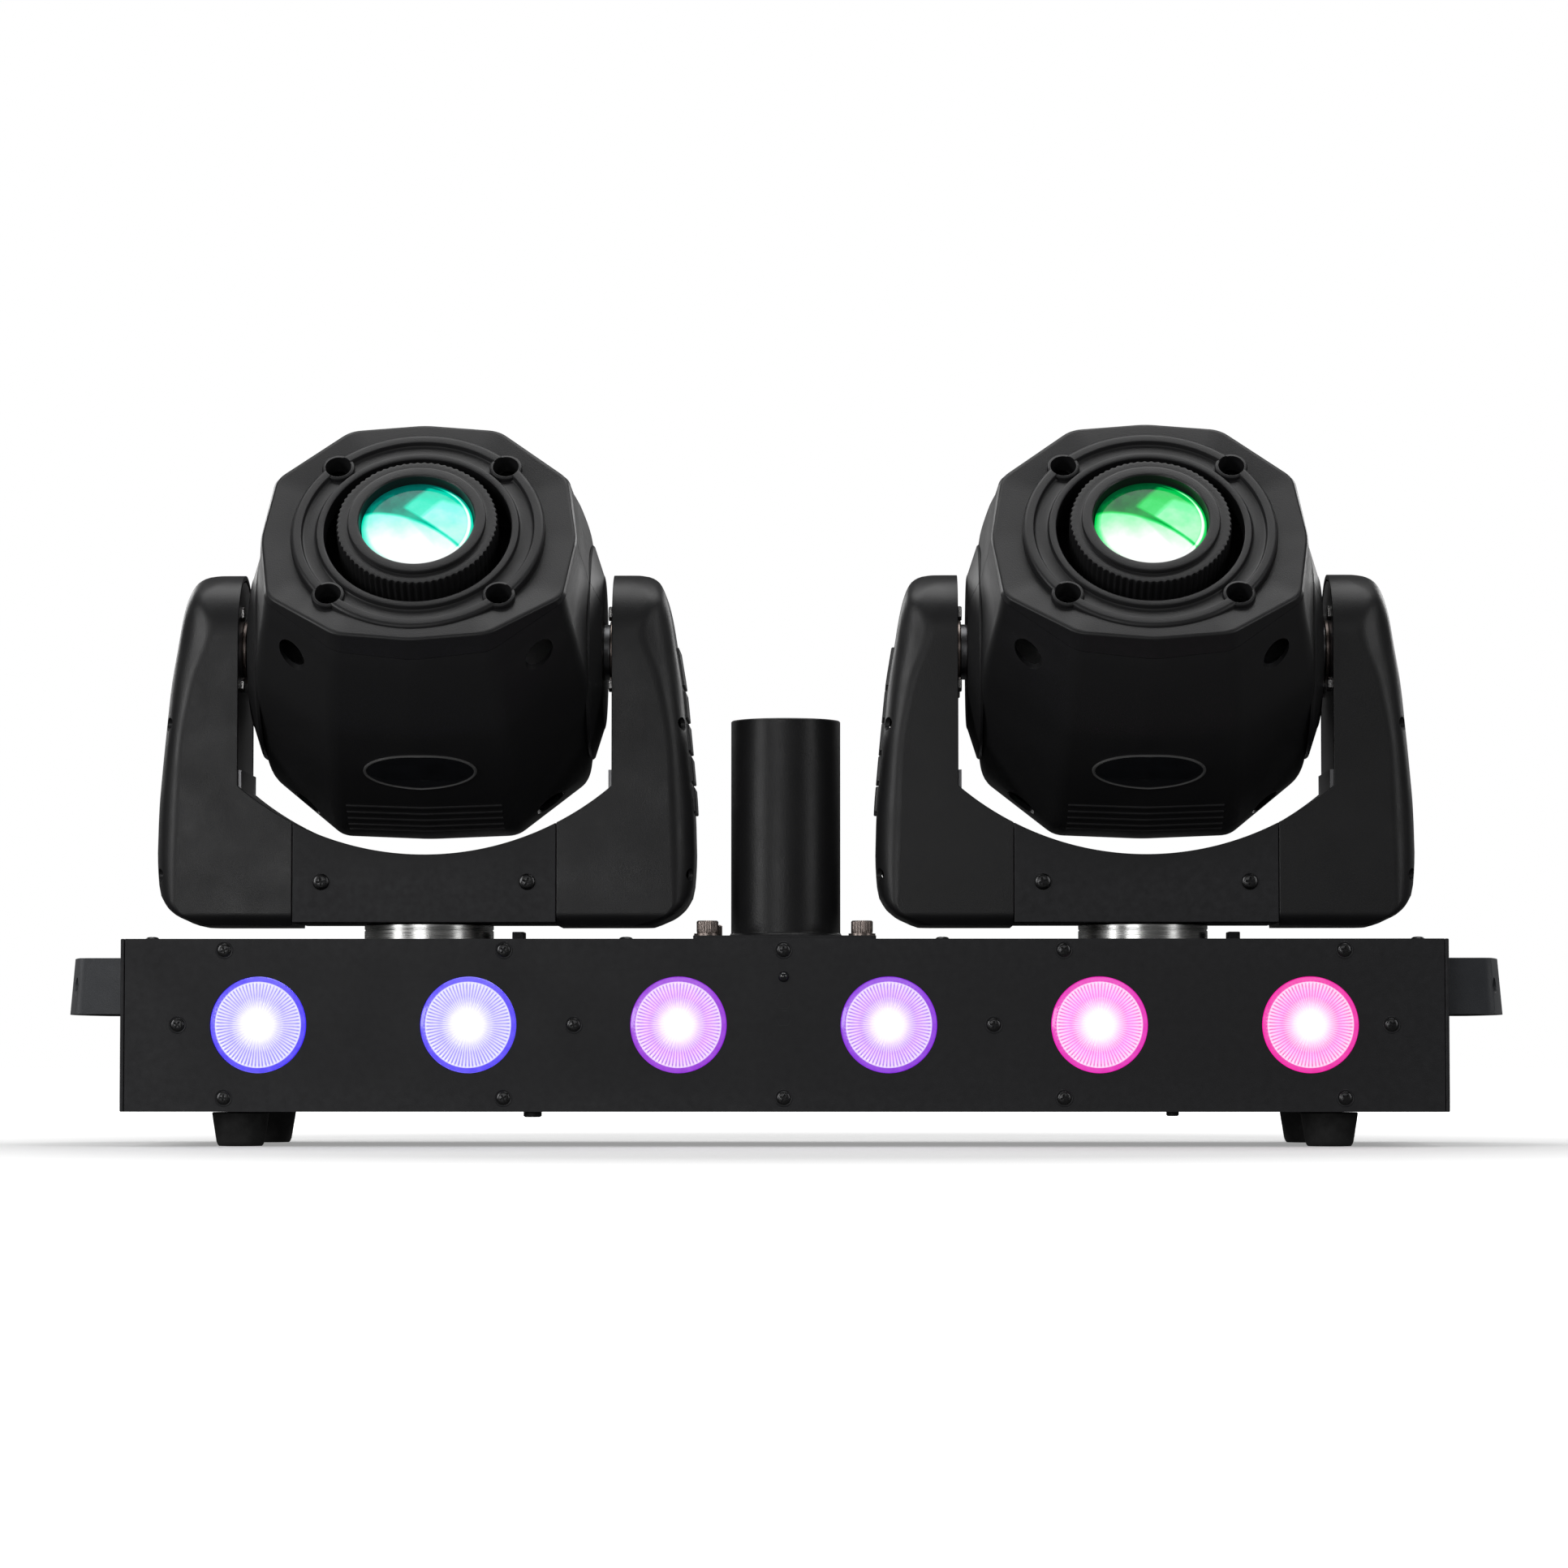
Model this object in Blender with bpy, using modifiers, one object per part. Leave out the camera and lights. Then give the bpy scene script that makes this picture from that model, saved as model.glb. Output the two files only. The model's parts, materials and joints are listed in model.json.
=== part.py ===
"""Twin moving head light bar, modelled in millimetres and written out in metres, with +Z up.

The bar stands on four feet. Its front is -Y, its length runs along X, and its middle is at x = 0.
Each moving head is described for the right-hand side, and mirrored in X for the left-hand side.
"""
import math

import bmesh
import bpy
from mathutils import Matrix, Vector

MM = 0.001
GAP = 0.3                      # clearance between neighbours
SHEET = 1.8                    # sheet metal and moulded wall

# Bar
BAR_LENGTH = 600.0
BAR_DEPTH = 150.0
BAR_BOTTOM = 15.7
BAR_TOP = 93.8
BAR_Y = 10.45                   # the bar's middle sits behind the middle of the whole object
LED_RADIUS = 21.4
LED_PITCH = 95.0
LED_HEIGHT = 54.9
FOOT_PLACE = (247.5, 55.0)

# Stand tube
TUBE_RADIUS = 25.5
TUBE_BORE = 22.5
TUBE_TOP = 197.2
FLANGE_SIDE = 84.0

# Moving heads
PAN_X = 166.5
COLUMN_RADIUS = 30.1
HUB_RADIUS = 14.0
YOKE_FLOOR = 102.4
YOKE_HALF_DEPTH = 31.0
YOKE_INNER = 86.4              # half the space between the arms
YOKE_BASE = 61.0               # half the width of the middle cover
SWEEP_RADIUS = 133.6           # the hollow curve of the yoke under the head
SWEEP_CENTRE = 267.4
ARM_FOOT = 101.2
ARM_TOP_RADIUS = 31.0          # the arms' round top, seen from the side
ARM_TOP_CENTRE = 234.7
TILT_Z = 229.7
HEAD_ELEVATION = 35.0          # how far the lens looks up at rest, in degrees
SHELL_WALL = 2.4
COLLAR_RADIUS = 13.0
TILT_MOTOR_Z = 125.5
BELT_PLANE = (103.0, 110.0)    # where the tilt belt runs, outwards from the pan axis
PAN_MOTOR_X = 38.0
WHEEL_RADIUS = 30.0
WHEEL_OFFSET = 17.0            # each filter wheel's axis lies this far up and aside of the lens axis

FINISHES = {                   # colour, roughness, metallic
    "powder_black": ((0.020, 0.020, 0.022), 0.55, 0.0),
    "plastic_black": ((0.016, 0.016, 0.017), 0.45, 0.0),
    "plastic_grey": ((0.075, 0.080, 0.090), 0.50, 0.0),
    "rubber": ((0.012, 0.012, 0.012), 0.85, 0.0),
    "aluminium": ((0.68, 0.68, 0.67), 0.35, 1.0),
    "steel": ((0.45, 0.45, 0.46), 0.35, 1.0),
    "circuit": ((0.03, 0.10, 0.05), 0.50, 0.0),
    "glass": ((0.35, 0.75, 0.78), 0.08, 0.0),
    "led_blue": ((0.25, 0.15, 1.0), 0.15, 0.0),
    "led_violet": ((0.55, 0.10, 1.0), 0.15, 0.0),
    "led_magenta": ((1.0, 0.05, 0.55), 0.15, 0.0),
}


# ---- shapes: each gives a bmesh in metres ----

def box(low, high):
    """Box between two corners."""
    shape = bmesh.new()
    bmesh.ops.create_cube(shape, size=1.0)
    low, high = Vector(low) * MM, Vector(high) * MM
    bmesh.ops.scale(shape, vec=high - low, verts=shape.verts)
    bmesh.ops.translate(shape, vec=(high + low) / 2, verts=shape.verts)
    return shape


def along(axis):
    """Rotation that lays local +Z along a named direction."""
    turns = {"z": Matrix.Identity(3), "x": Matrix.Rotation(math.pi / 2, 3, "Y"),
             "front": Matrix.Rotation(math.pi / 2, 3, "X"), "y": Matrix.Rotation(-math.pi / 2, 3, "X")}
    return turns[axis]


def rod(radius, start, end, axis="z", centre=(0, 0, 0), segments=24):
    """Cylinder from start to end along an axis through centre."""
    shape = bmesh.new()
    bmesh.ops.create_cone(shape, cap_ends=True, segments=segments, radius1=radius * MM,
                          radius2=radius * MM, depth=(end - start) * MM)
    bmesh.ops.translate(shape, vec=(0, 0, (start + end) / 2 * MM), verts=shape.verts)
    return moved(shape, axis, centre)


def moved(shape, axis, centre):
    """Lay a shape along an axis, through a centre in millimetres."""
    bmesh.ops.rotate(shape, matrix=along(axis), verts=shape.verts)
    bmesh.ops.translate(shape, vec=Vector(centre) * MM, verts=shape.verts)
    return shape


def evaluated(holder):
    """Mesh of an object after its modifiers; the object is removed."""
    bpy.context.scene.collection.objects.link(holder)
    bpy.context.view_layer.update()
    graph = bpy.context.evaluated_depsgraph_get()
    mesh = bpy.data.meshes.new_from_object(holder.evaluated_get(graph))
    bpy.data.objects.remove(holder)
    shape = bmesh.new()
    shape.from_mesh(mesh)
    bpy.data.meshes.remove(mesh)
    bmesh.ops.remove_doubles(shape, verts=shape.verts, dist=1e-6)
    return facing_out(shape)


def facing_out(shape):
    """Turn every face of a closed shape outwards."""
    bmesh.ops.recalc_face_normals(shape, faces=shape.faces)
    if shape.calc_volume(signed=True) < 0:
        bmesh.ops.reverse_faces(shape, faces=shape.faces)
    return shape


def turned(profile, axis="z", centre=(0, 0, 0), segments=28, ring=False):
    """Turn a profile of (radius, height) points, listed down the outer side; a ring's profile closes."""
    mesh = bpy.data.meshes.new("profile")
    points = [(radius * MM, 0, height * MM) for radius, height in profile]
    edges = [(i, i + 1) for i in range(len(points) - 1)]
    if ring:
        edges.append((len(points) - 1, 0))
    mesh.from_pydata(points, edges, [])
    holder = bpy.data.objects.new("profile", mesh)
    screw = holder.modifiers.new("Screw", "SCREW")
    screw.steps = screw.render_steps = segments
    screw.use_merge_vertices = True
    screw.merge_threshold = 0.00001
    return moved(evaluated(holder), axis, centre)


def circle(radius, centre=(0, 0), segments=28):
    """Points round a circle."""
    angles = [2 * math.pi * i / segments for i in range(segments)]
    return [(centre[0] + radius * math.cos(a), centre[1] + radius * math.sin(a)) for a in angles]


def plate(outlines, low, high, plane):
    """Flat outlines, filled and thickened from low to high across the plane they lie in."""
    curve = bpy.data.curves.new("outline", "CURVE")
    curve.dimensions = "2D"
    curve.fill_mode = "BOTH"
    curve.extrude = (high - low) / 2 * MM
    for outline in outlines:
        spline = curve.splines.new("POLY")
        spline.points.add(len(outline) - 1)
        for point, (u, v) in zip(spline.points, outline):
            point.co = (u * MM, v * MM, 0, 1)
        spline.use_cyclic_u = True
    shape = evaluated(bpy.data.objects.new("outline", curve))
    middle = (low + high) / 2 * MM
    for vert in shape.verts:
        u, v, w = vert.co.x, vert.co.y, vert.co.z + middle
        vert.co = {"XY": (u, v, w), "XZ": (u, w, v), "YZ": (w, u, v)}[plane]
    return facing_out(shape)


def loft(rings):
    """Join rings of equally many points, in millimetres, and close both ends with a fan."""
    shape = bmesh.new()
    rows = [[shape.verts.new(Vector(p) * MM) for p in ring] for ring in rings]
    count = len(rows[0])
    for near, far in zip(rows, rows[1:]):
        for i in range(count):
            j = (i + 1) % count
            shape.faces.new((near[i], near[j], far[j], far[i]))
    for row in (rows[0], rows[-1]):
        middle = shape.verts.new(sum((v.co for v in row), Vector()) / count)
        for i in range(count):
            shape.faces.new((row[i], row[(i + 1) % count], middle))
    bmesh.ops.triangulate(shape, faces=[f for f in shape.faces if len(f.verts) > 3])
    return facing_out(shape)


def together(shapes):
    """Several shapes in one bmesh."""
    whole = bmesh.new()
    for shape in shapes:
        mesh = bpy.data.meshes.new("shape")
        shape.to_mesh(mesh)
        shape.free()
        whole.from_mesh(mesh)
        bpy.data.meshes.remove(mesh)
    return whole


# ---- pieces: named objects, with the tools that join or cut them ----

class Piece:
    """One sub-part. Its shape, and its tools, lie in its parent's frame."""
    parts = None
    tools = None

    def __init__(self, name, shape, finish, parent=None, side=1, smooth=True, origin=(0, 0, 0)):
        self.side = side
        self.parent = parent
        self.origin = Vector((origin[0] * side, origin[1], origin[2])) * MM
        self.count = 0
        self.object = self.make(name, shape, Piece.parts)
        self.object.data.materials.append(material(name, finish))
        if smooth:
            self.object.data.shade_smooth()
            self.object.data.set_sharp_from_angle(angle=math.radians(35))

    def make(self, name, shape, collection):
        """An object from a shape, mirrored on the left-hand side, with its origin where the piece turns."""
        if self.side < 0:
            bmesh.ops.scale(shape, vec=(-1, 1, 1), verts=shape.verts)
            bmesh.ops.reverse_faces(shape, faces=shape.faces)
        bmesh.ops.translate(shape, vec=-self.origin, verts=shape.verts)
        mesh = bpy.data.meshes.new(name)
        shape.to_mesh(mesh)
        shape.free()
        made = bpy.data.objects.new(name, mesh)
        made.parent = self.parent
        made.location = self.origin
        collection.objects.link(made)
        return made

    def use(self, operation, shape):
        """Boolean with a tool that stays in the tools' collection."""
        self.count += 1
        tool = self.make(f"{self.object.name}_tool_{self.count}", shape, Piece.tools)
        tool.hide_render = True
        tool.display_type = "WIRE"
        change = self.object.modifiers.new(tool.name, "BOOLEAN")
        change.operation = operation
        change.solver = "EXACT"
        change.object = tool
        return self

    def join(self, *shapes):
        for shape in shapes:
            self.use("UNION", shape)
        return self

    def cut(self, *shapes):
        for shape in shapes:
            self.use("DIFFERENCE", shape)
        return self

    def keep(self, shape):
        return self.use("INTERSECT", shape)


def material(name, finish):
    """The piece's own Principled material."""
    colour, roughness, metallic = FINISHES[finish]
    made = bpy.data.materials.new(f"{name}_{finish}")
    made.use_nodes = True
    shader = made.node_tree.nodes["Principled BSDF"]
    shader.inputs["Base Color"].default_value = (*colour, 1)
    shader.inputs["Roughness"].default_value = roughness
    shader.inputs["Metallic"].default_value = metallic
    made.diffuse_color = (*colour, 1)
    return made


def empty(name, place, parent=None, tilt=0.0):
    """Empty on a joint's axis."""
    made = bpy.data.objects.new(name, None)
    made.location = Vector(place) * MM
    made.rotation_euler = (math.radians(tilt), 0, 0)
    made.parent = parent
    Piece.tools.objects.link(made)
    return made


# ---- the bar ----

def chassis(centre):
    """Folded tray: floor, two end walls and the rear wall, with two bosses underneath."""
    half, deep = BAR_LENGTH / 2, BAR_DEPTH / 2
    inside = half - SHEET
    tray = Piece("chassis_tray", box((-half, -deep, BAR_BOTTOM), (half, deep, BAR_TOP)),
                 "powder_black", centre, smooth=False)
    tray.cut(box((-inside, -deep - 1, BAR_BOTTOM + SHEET), (inside, deep - SHEET, BAR_TOP + 1)))
    tray.cut(box((-inside, -deep - 1, BAR_BOTTOM - 1), (inside, -deep + SHEET + GAP, BAR_BOTTOM + 3)))
    tray.cut(box((-155, deep - 5, 42), (-57, deep + 1, 68)),
             box((185.7, deep - 5, 45), (214.3, deep + 1, 65)))
    tray.join(rod(4.15, BAR_BOTTOM - 2.5, BAR_BOTTOM + 0.5, centre=(-114, -62, 0), segments=16),
              rod(2.85, BAR_BOTTOM - 2.0, BAR_BOTTOM + 0.5, centre=(176, -62, 0), segments=16))


def top_cover(centre):
    """Lid between the walls, with a hole for each pan column and a stop block beside it."""
    half, deep = BAR_LENGTH / 2 - SHEET - GAP, BAR_DEPTH / 2 - SHEET - GAP
    outline = [(-half, -deep), (half, -deep), (half, deep), (-half, deep)]
    holes = [circle(COLUMN_RADIUS + 0.4, (place, 0), 24) for place in (-PAN_X, PAN_X)]
    cover = Piece("top_cover", plate([outline] + holes, BAR_TOP - SHEET, BAR_TOP, "XY"),
                  "powder_black", centre, smooth=False)
    for place in (-PAN_X + 42, PAN_X + 42):
        cover.join(box((place - 2.8, -7, BAR_TOP - 0.5), (place + 2.8, 7, BAR_TOP + 4.9)))


def led_places():
    return [(-2.5 + i) * LED_PITCH for i in range(6)]


def front_panel(centre):
    half, front = BAR_LENGTH / 2 - SHEET - GAP, -BAR_DEPTH / 2
    outline = [(-half, BAR_BOTTOM), (half, BAR_BOTTOM), (half, BAR_TOP), (-half, BAR_TOP)]
    holes = [circle(LED_RADIUS + 0.4, (x, LED_HEIGHT), 16) for x in led_places()]
    Piece("front_panel", plate([outline] + holes, front, front + SHEET, "XZ"),
          "powder_black", centre, smooth=False)


def led_lenses(centre):
    """Domed lens with a flange behind the panel and a cone reaching back to its LED."""
    profile = [(0, 1.6), (12, 1.25), (LED_RADIUS, 0.1), (LED_RADIUS, -2.1), (24, -2.1), (24, -4),
               (0, -16)]
    colours = ["led_blue", "led_blue", "led_violet", "led_violet", "led_magenta", "led_magenta"]
    for number, (x, colour) in enumerate(zip(led_places(), colours), 1):
        Piece(f"led_lens_{number}", turned(profile, "front", (x, -BAR_DEPTH / 2, LED_HEIGHT), 16),
              colour, centre)


def led_board(centre):
    board = Piece("led_board", box((-270, -56, 38), (270, -54.4, 72)), "circuit", centre, smooth=False)
    board.join(together([box((x - 4.5, -58.2, LED_HEIGHT - 4.5), (x + 4.5, -55.5, LED_HEIGHT + 4.5))
                         for x in led_places()]))


def power_supply(centre):
    supply = Piece("power_supply", box((-90, -20, 18.5), (90, 45, 58)), "steel", centre, smooth=False)
    supply.cut(together([box((x, -30, 28), (x + 6, -14, 50)) for x in range(-66, 67, 22)]))
    supply.join(box((89, -12, 24), (101, 38, 40)))


def rear_panel(centre):
    """Control panel with a display window and four sprung buttons, on the rear wall."""
    back = BAR_DEPTH / 2 + GAP
    panel = Piece("control_panel", box((-165, back, 34), (-50, back + 2.3, 76)), "plastic_black",
                  centre, smooth=False)
    panel.cut(box((-156, back + 1.3, 43), (-112, back + 5, 67)))
    panel.cut(together([rod(4.3, back - 1, back + 4, "y", (x, 0, 55), 10) for x in button_places()]))
    profile = [(0, 4.4), (3.8, 4.0), (3.8, -0.4), (5.2, -0.4), (5.2, -2), (0, -2)]
    for number, x in enumerate(button_places(), 1):
        Piece(f"menu_button_{number}", turned(profile, "y", (x, back, 55), 10), "plastic_grey",
              centre, origin=(x, back, 55))


def button_places():
    return [-101.0 + 12.5 * i for i in range(4)]


def power_inlet(centre):
    """Mains inlet: flange outside the wall, body through it, three contact blades in the recess."""
    back = BAR_DEPTH / 2 + GAP
    inlet = Piece("power_inlet", box((175, back, 43), (225, back + 2.7, 67)), "plastic_black",
                  centre, smooth=False)
    inlet.join(box((186.2, back - 22, 45.4), (213.8, back + 0.5, 64.6)))
    inlet.cut(box((188, back - 18, 47.2), (212, back + 3, 62.8)))
    inlet.join(together([box((x - 1, back - 19, z), (x + 1, back - 3, z + 4))
                         for x, z in ((193, 51), (200, 55), (207, 51))]))


def feet(centre):
    profile = [(0, 15.4), (13, 15.4), (10.3, 0), (0, 0)]
    for x, place in ((-1, "left"), (1, "right")):
        for y, end in ((-1, "front"), (1, "rear")):
            Piece(f"foot_{end}_{place}", turned(profile, "z", (x * FOOT_PLACE[0], y * FOOT_PLACE[1], 0), 16),
                  "rubber", centre)


def bow(start, middle, half_length, steps):
    """Points of a bowed edge: x grows from start at the ends to middle at the centre."""
    rows = [-1 + 2 * i / steps for i in range(steps + 1)]
    return [(start + (middle - start) * (1 - row * row), half_length * row) for row in rows]


def handles(centre):
    """Bowed grip with a leg at each end, open to the end wall, leaning in towards its top."""
    low, high, lean = 60.0, 85.5, 2.4
    wall = BAR_LENGTH / 2 + GAP
    outer = [(wall + x, y) for x, y in bow(23, 32, 55, 8)]
    inner = [(wall + x, y) for x, y in bow(16, 26, 43, 6)]
    outline = ([(wall, -56)] + outer + [(wall, 56), (wall, 46)] + inner[::-1] + [(wall, -46)])
    for side, name in ((-1, "handle_left"), (1, "handle_right")):
        shape = plate([outline], low, high, "XY")
        for vert in shape.verts:
            out = (vert.co.x / MM - wall) / 32
            rise = (vert.co.z / MM - low) / (high - low)
            vert.co.x -= lean * out * rise * MM
        grip = Piece(name, shape, "plastic_grey", centre, side)
        edge = grip.object.modifiers.new("Edges", "BEVEL")
        edge.width = 1.2 * MM
        edge.segments = 1
        edge.limit_method = "ANGLE"
        edge.angle_limit = math.radians(50)


def stand_socket(centre):
    """Square flange with an open tube standing on it."""
    half, foot = FLANGE_SIDE / 2, BAR_TOP + GAP
    outline = [(-half, -half), (half, -half), (half, half), (-half, half)]
    socket = Piece("stand_socket", plate([outline, circle(TUBE_BORE, segments=24)], foot, foot + 2, "XY"),
                   "powder_black", centre)
    wall = [(TUBE_BORE, TUBE_TOP), (TUBE_RADIUS, TUBE_TOP), (TUBE_RADIUS, foot + 1), (TUBE_BORE, foot + 1)]
    socket.join(turned(wall, "z", segments=24, ring=True))


# ---- the yoke ----

def sweep_height(out, radius=SWEEP_RADIUS):
    """Height of the yoke's hollow curve at a distance from the pan axis."""
    return SWEEP_CENTRE - math.sqrt(radius * radius - out * out)


def sweep(start, end, radius, steps):
    """Points along the hollow curve."""
    places = [start + (end - start) * i / steps for i in range(steps + 1)]
    return [(x, sweep_height(x, radius)) for x in places]


def pan_bearing(name, centre, side):
    """Bare column with a flange under the lid, a cable bore, and the fixed hub of the pan belt."""
    profile = [(8, 112.5), (HUB_RADIUS, 112.5), (HUB_RADIUS, YOKE_FLOOR - GAP),
               (COLUMN_RADIUS, YOKE_FLOOR - GAP), (COLUMN_RADIUS, BAR_TOP - SHEET - GAP),
               (36, BAR_TOP - SHEET - GAP), (36, 87.5), (8, 87.5)]
    Piece(f"{name}_pan_bearing", turned(profile, "z", (PAN_X, 0, 0), 20, ring=True), "aluminium",
          centre, side)


def yoke_frame(name, pan, side):
    """U of sheet metal: two arm plates, the hollow floor, and a box base round the pan drive."""
    near, far = YOKE_INNER + 0.2, YOKE_INNER + 0.2 + SHEET
    lip, lip_top, top = YOKE_INNER - 1.5, 173.0, ARM_TOP_CENTRE + ARM_TOP_RADIUS
    web, floor = 59.0, YOKE_FLOOR + SHEET + GAP
    upper, lower = SWEEP_RADIUS + GAP, SWEEP_RADIUS + GAP + SHEET
    right = [(far, top), (far, sweep_height(far, lower))] + sweep(far - 4, web, lower, 3)
    right += [(web, floor)]
    left = [(-x, z) for x, z in right][::-1]
    inner_left = [(-near, top), (-near, lip_top), (-lip, lip_top)]
    inner_right = [(-x, z) for x, z in inner_left][::-1]
    outline = right + left + inner_left + sweep(-lip, lip, upper, 12) + inner_right
    hole = [(web - SHEET, floor + SHEET)] + sweep(web - SHEET, -web + SHEET, lower, 8)
    hole += [(-web + SHEET, floor + SHEET)]
    deep = YOKE_HALF_DEPTH - SHEET - GAP
    frame = Piece(f"{name}_yoke_frame", plate([outline, hole], -deep, deep, "XZ"), "steel", pan, side,
                  smooth=False)
    round_top = [(-deep, 95), (deep, 95)] + top_arc(ARM_TOP_RADIUS - SHEET - 1.0, 10)
    frame.keep(plate([round_top], -130, 130, "YZ"))
    frame.cut(rod(9.2, -120, 120, "x", (0, 0, TILT_Z), 16), rod(HUB_RADIUS + 0.4, 90, 115, segments=20))
    frame.cut(rod(3, 55, 65, "x", (0, 0, TILT_MOTOR_Z), 8))


def top_arc(radius, steps):
    """Half circle over the arms, as depth and height, from the rear to the front."""
    angles = [math.pi * i / steps for i in range(steps + 1)]
    return [(radius * math.cos(a), ARM_TOP_CENTRE + radius * math.sin(a)) for a in angles]


def yoke_base_cover(name, pan, side):
    """Folded cover: front wall, floor and rear wall between the arm covers."""
    edge, deep = YOKE_BASE - 0.2, YOKE_HALF_DEPTH
    outline = [(-edge, YOKE_FLOOR), (edge, YOKE_FLOOR)] + sweep(edge, -edge, SWEEP_RADIUS, 12)
    cover = Piece(f"{name}_yoke_base_cover", plate([outline], -deep, deep, "XZ"), "powder_black", pan,
                  side, smooth=False)
    cover.cut(box((-70, -deep + SHEET, YOKE_FLOOR + SHEET), (70, deep - SHEET, 160)))
    cover.cut(rod(HUB_RADIUS + 0.4, 90, 115, segments=20))


def between(table, height):
    """Value read from a table of (height, value) by straight lines."""
    if height <= table[0][0]:
        return table[0][1]
    for (low, first), (high, last) in zip(table, table[1:]):
        if height <= high:
            return first + (last - first) * (height - low) / (high - low)
    return table[-1][1]


ARM_SIDE = [(101.2, 105), (102.7, 109), (110, 119.8), (118, 123.6), (135, 124.6), (155, 124),
            (174, 122.5), (193, 120.7), (212, 118.8), (231, 115.8), (246, 113.3), (255, 111),
            (261, 108.2), (264.3, 104), (265.7, 98)]
ARM_RIDGE = [(101.2, 100), (106, 113), (112, 116.5), (154, 115.4), (183, 114), (215, 108), (238, 100),
             (252, 104.3), (265.7, 94)]
ARM_FRONT = [(101.2, 27), (106, 31), (240, 31)]


def arm_section(height, wall, hollow):
    """One level of an arm cover: straight inner side, flat faces, and a soft ridge to the outer side."""
    deep = between(ARM_FRONT, height) - wall
    rise = height - ARM_TOP_CENTRE
    if rise > 0:
        deep = math.sqrt(max((ARM_TOP_RADIUS - wall) ** 2 - rise * rise, 0.01))
    side = between(ARM_SIDE, height) - wall
    ridge = min(between(ARM_RIDGE, height) - wall * 0.6, side - 1.5)
    shoulder = deep * 0.70
    inner = 40.0 if hollow else arm_inner(height)
    half = [(inner, deep), (ridge, deep), ((ridge + side) / 2 + 1.2, deep - (deep - shoulder) * 0.38),
            (side, shoulder)]
    return [(x, -y, height) for x, y in half] + [(x, y, height) for x, y in half[::-1]]


def arm_inner(height):
    """Inner edge of an arm cover: beside the base cover, along the hollow curve, then up the arm."""
    if height <= sweep_height(YOKE_BASE + 0.1):
        return YOKE_BASE + 0.1
    if height >= sweep_height(YOKE_INNER):
        return YOKE_INNER
    drop = SWEEP_CENTRE - height
    return math.sqrt(SWEEP_RADIUS ** 2 - drop ** 2)


def arm_levels(top):
    """Heights of an arm cover's sections."""
    curve = [sweep_height(x) for x in (YOKE_BASE + 0.1, 69, 77, YOKE_INNER)]
    return [ARM_FOOT, 102.7, 106, 112, 130] + curve + [193, 215, 236, 246, 254, 260, 264, top]


def arm_cover(label, pan, side, louvred):
    """Moulded arm cover, hollow and open towards the head; one of each pair carries louvres."""
    top = ARM_TOP_CENTRE + ARM_TOP_RADIUS
    outside = [arm_section(level, 0.0, False) for level in arm_levels(top)]
    inner_levels = [ARM_FOOT + SHEET, 124, 183, 215, 236, 250, 258, 262, top - SHEET]
    inside = [arm_section(level, SHEET, True) for level in inner_levels]
    cover = Piece(label, loft(outside), "plastic_black", pan, side)
    cover.cut(loft(inside))
    for height in (124.5, 194.5):
        edge = between(ARM_SIDE, height)
        cover.cut(together([rod(3.1, edge - 7, edge + 5, "x", (0, y, height), 8) for y in (-24.5, 24.5)]))
    if louvred:
        cover.join(*[louvre(low, high) for low, high in louvre_rows()])


def louvre_rows():
    """Lower and upper edge of each raised louvre."""
    rows, top = [], 230.5
    for tall in (18, 13, 13, 12, 12):
        rows.append((top - tall, top))
        top -= tall + 2.2
    return rows


def louvre(low, high):
    """Raised bar that follows the arm's outer side."""
    rings = []
    for height in (low, high):
        out = between(ARM_SIDE, height)
        rings.append([(out - 0.9, -19, height), (out + 1.3, -18, height), (out + 1.3, 18, height),
                      (out - 0.9, 19, height)])
    return loft(rings)


def motors(name, pan, side):
    """Pan motor over the pan belt, tilt motor on the frame's web, and the pulley of each."""
    half = 17.5
    tilt = Piece(f"{name}_tilt_motor", box((59.4, -half, TILT_MOTOR_Z - half),
                                           (94, half, TILT_MOTOR_Z + half)), "steel", pan, side)
    tilt.join(rod(11, 93, 96, "x", (0, 0, TILT_MOTOR_Z), 16))
    tilt_axis = (0, 0, TILT_MOTOR_Z)
    tilt_profile = [(0, 111.5), (6.8, 111.5), (6.8, BELT_PLANE[0]), (8.5, BELT_PLANE[0] - 0.6),
                    (8.5, 101.2), (2.5, 101.2), (2.5, 96.4), (0, 96.4)]
    Piece(f"{name}_tilt_motor_pulley", turned(tilt_profile, "x", tilt_axis, 14), "aluminium", pan, side,
          origin=(104, 0, TILT_MOTOR_Z))
    block = box((PAN_MOTOR_X - 16, -half, 115), (PAN_MOTOR_X + 16, half, 132.4))
    Piece(f"{name}_pan_motor", block, "steel", pan, side)
    pan_profile = [(0, 114.6), (2.5, 114.6), (2.5, 113), (8, 113), (6.5, 112), (6.5, 106.8), (0, 106.8)]
    Piece(f"{name}_pan_motor_pulley", turned(pan_profile, "z", (PAN_MOTOR_X, 0, 0), 14), "aluminium",
          pan, side, origin=(PAN_MOTOR_X, 0, 110))


# ---- the head: the lens looks along -Y, and the tilt axis is X through the origin ----

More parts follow.
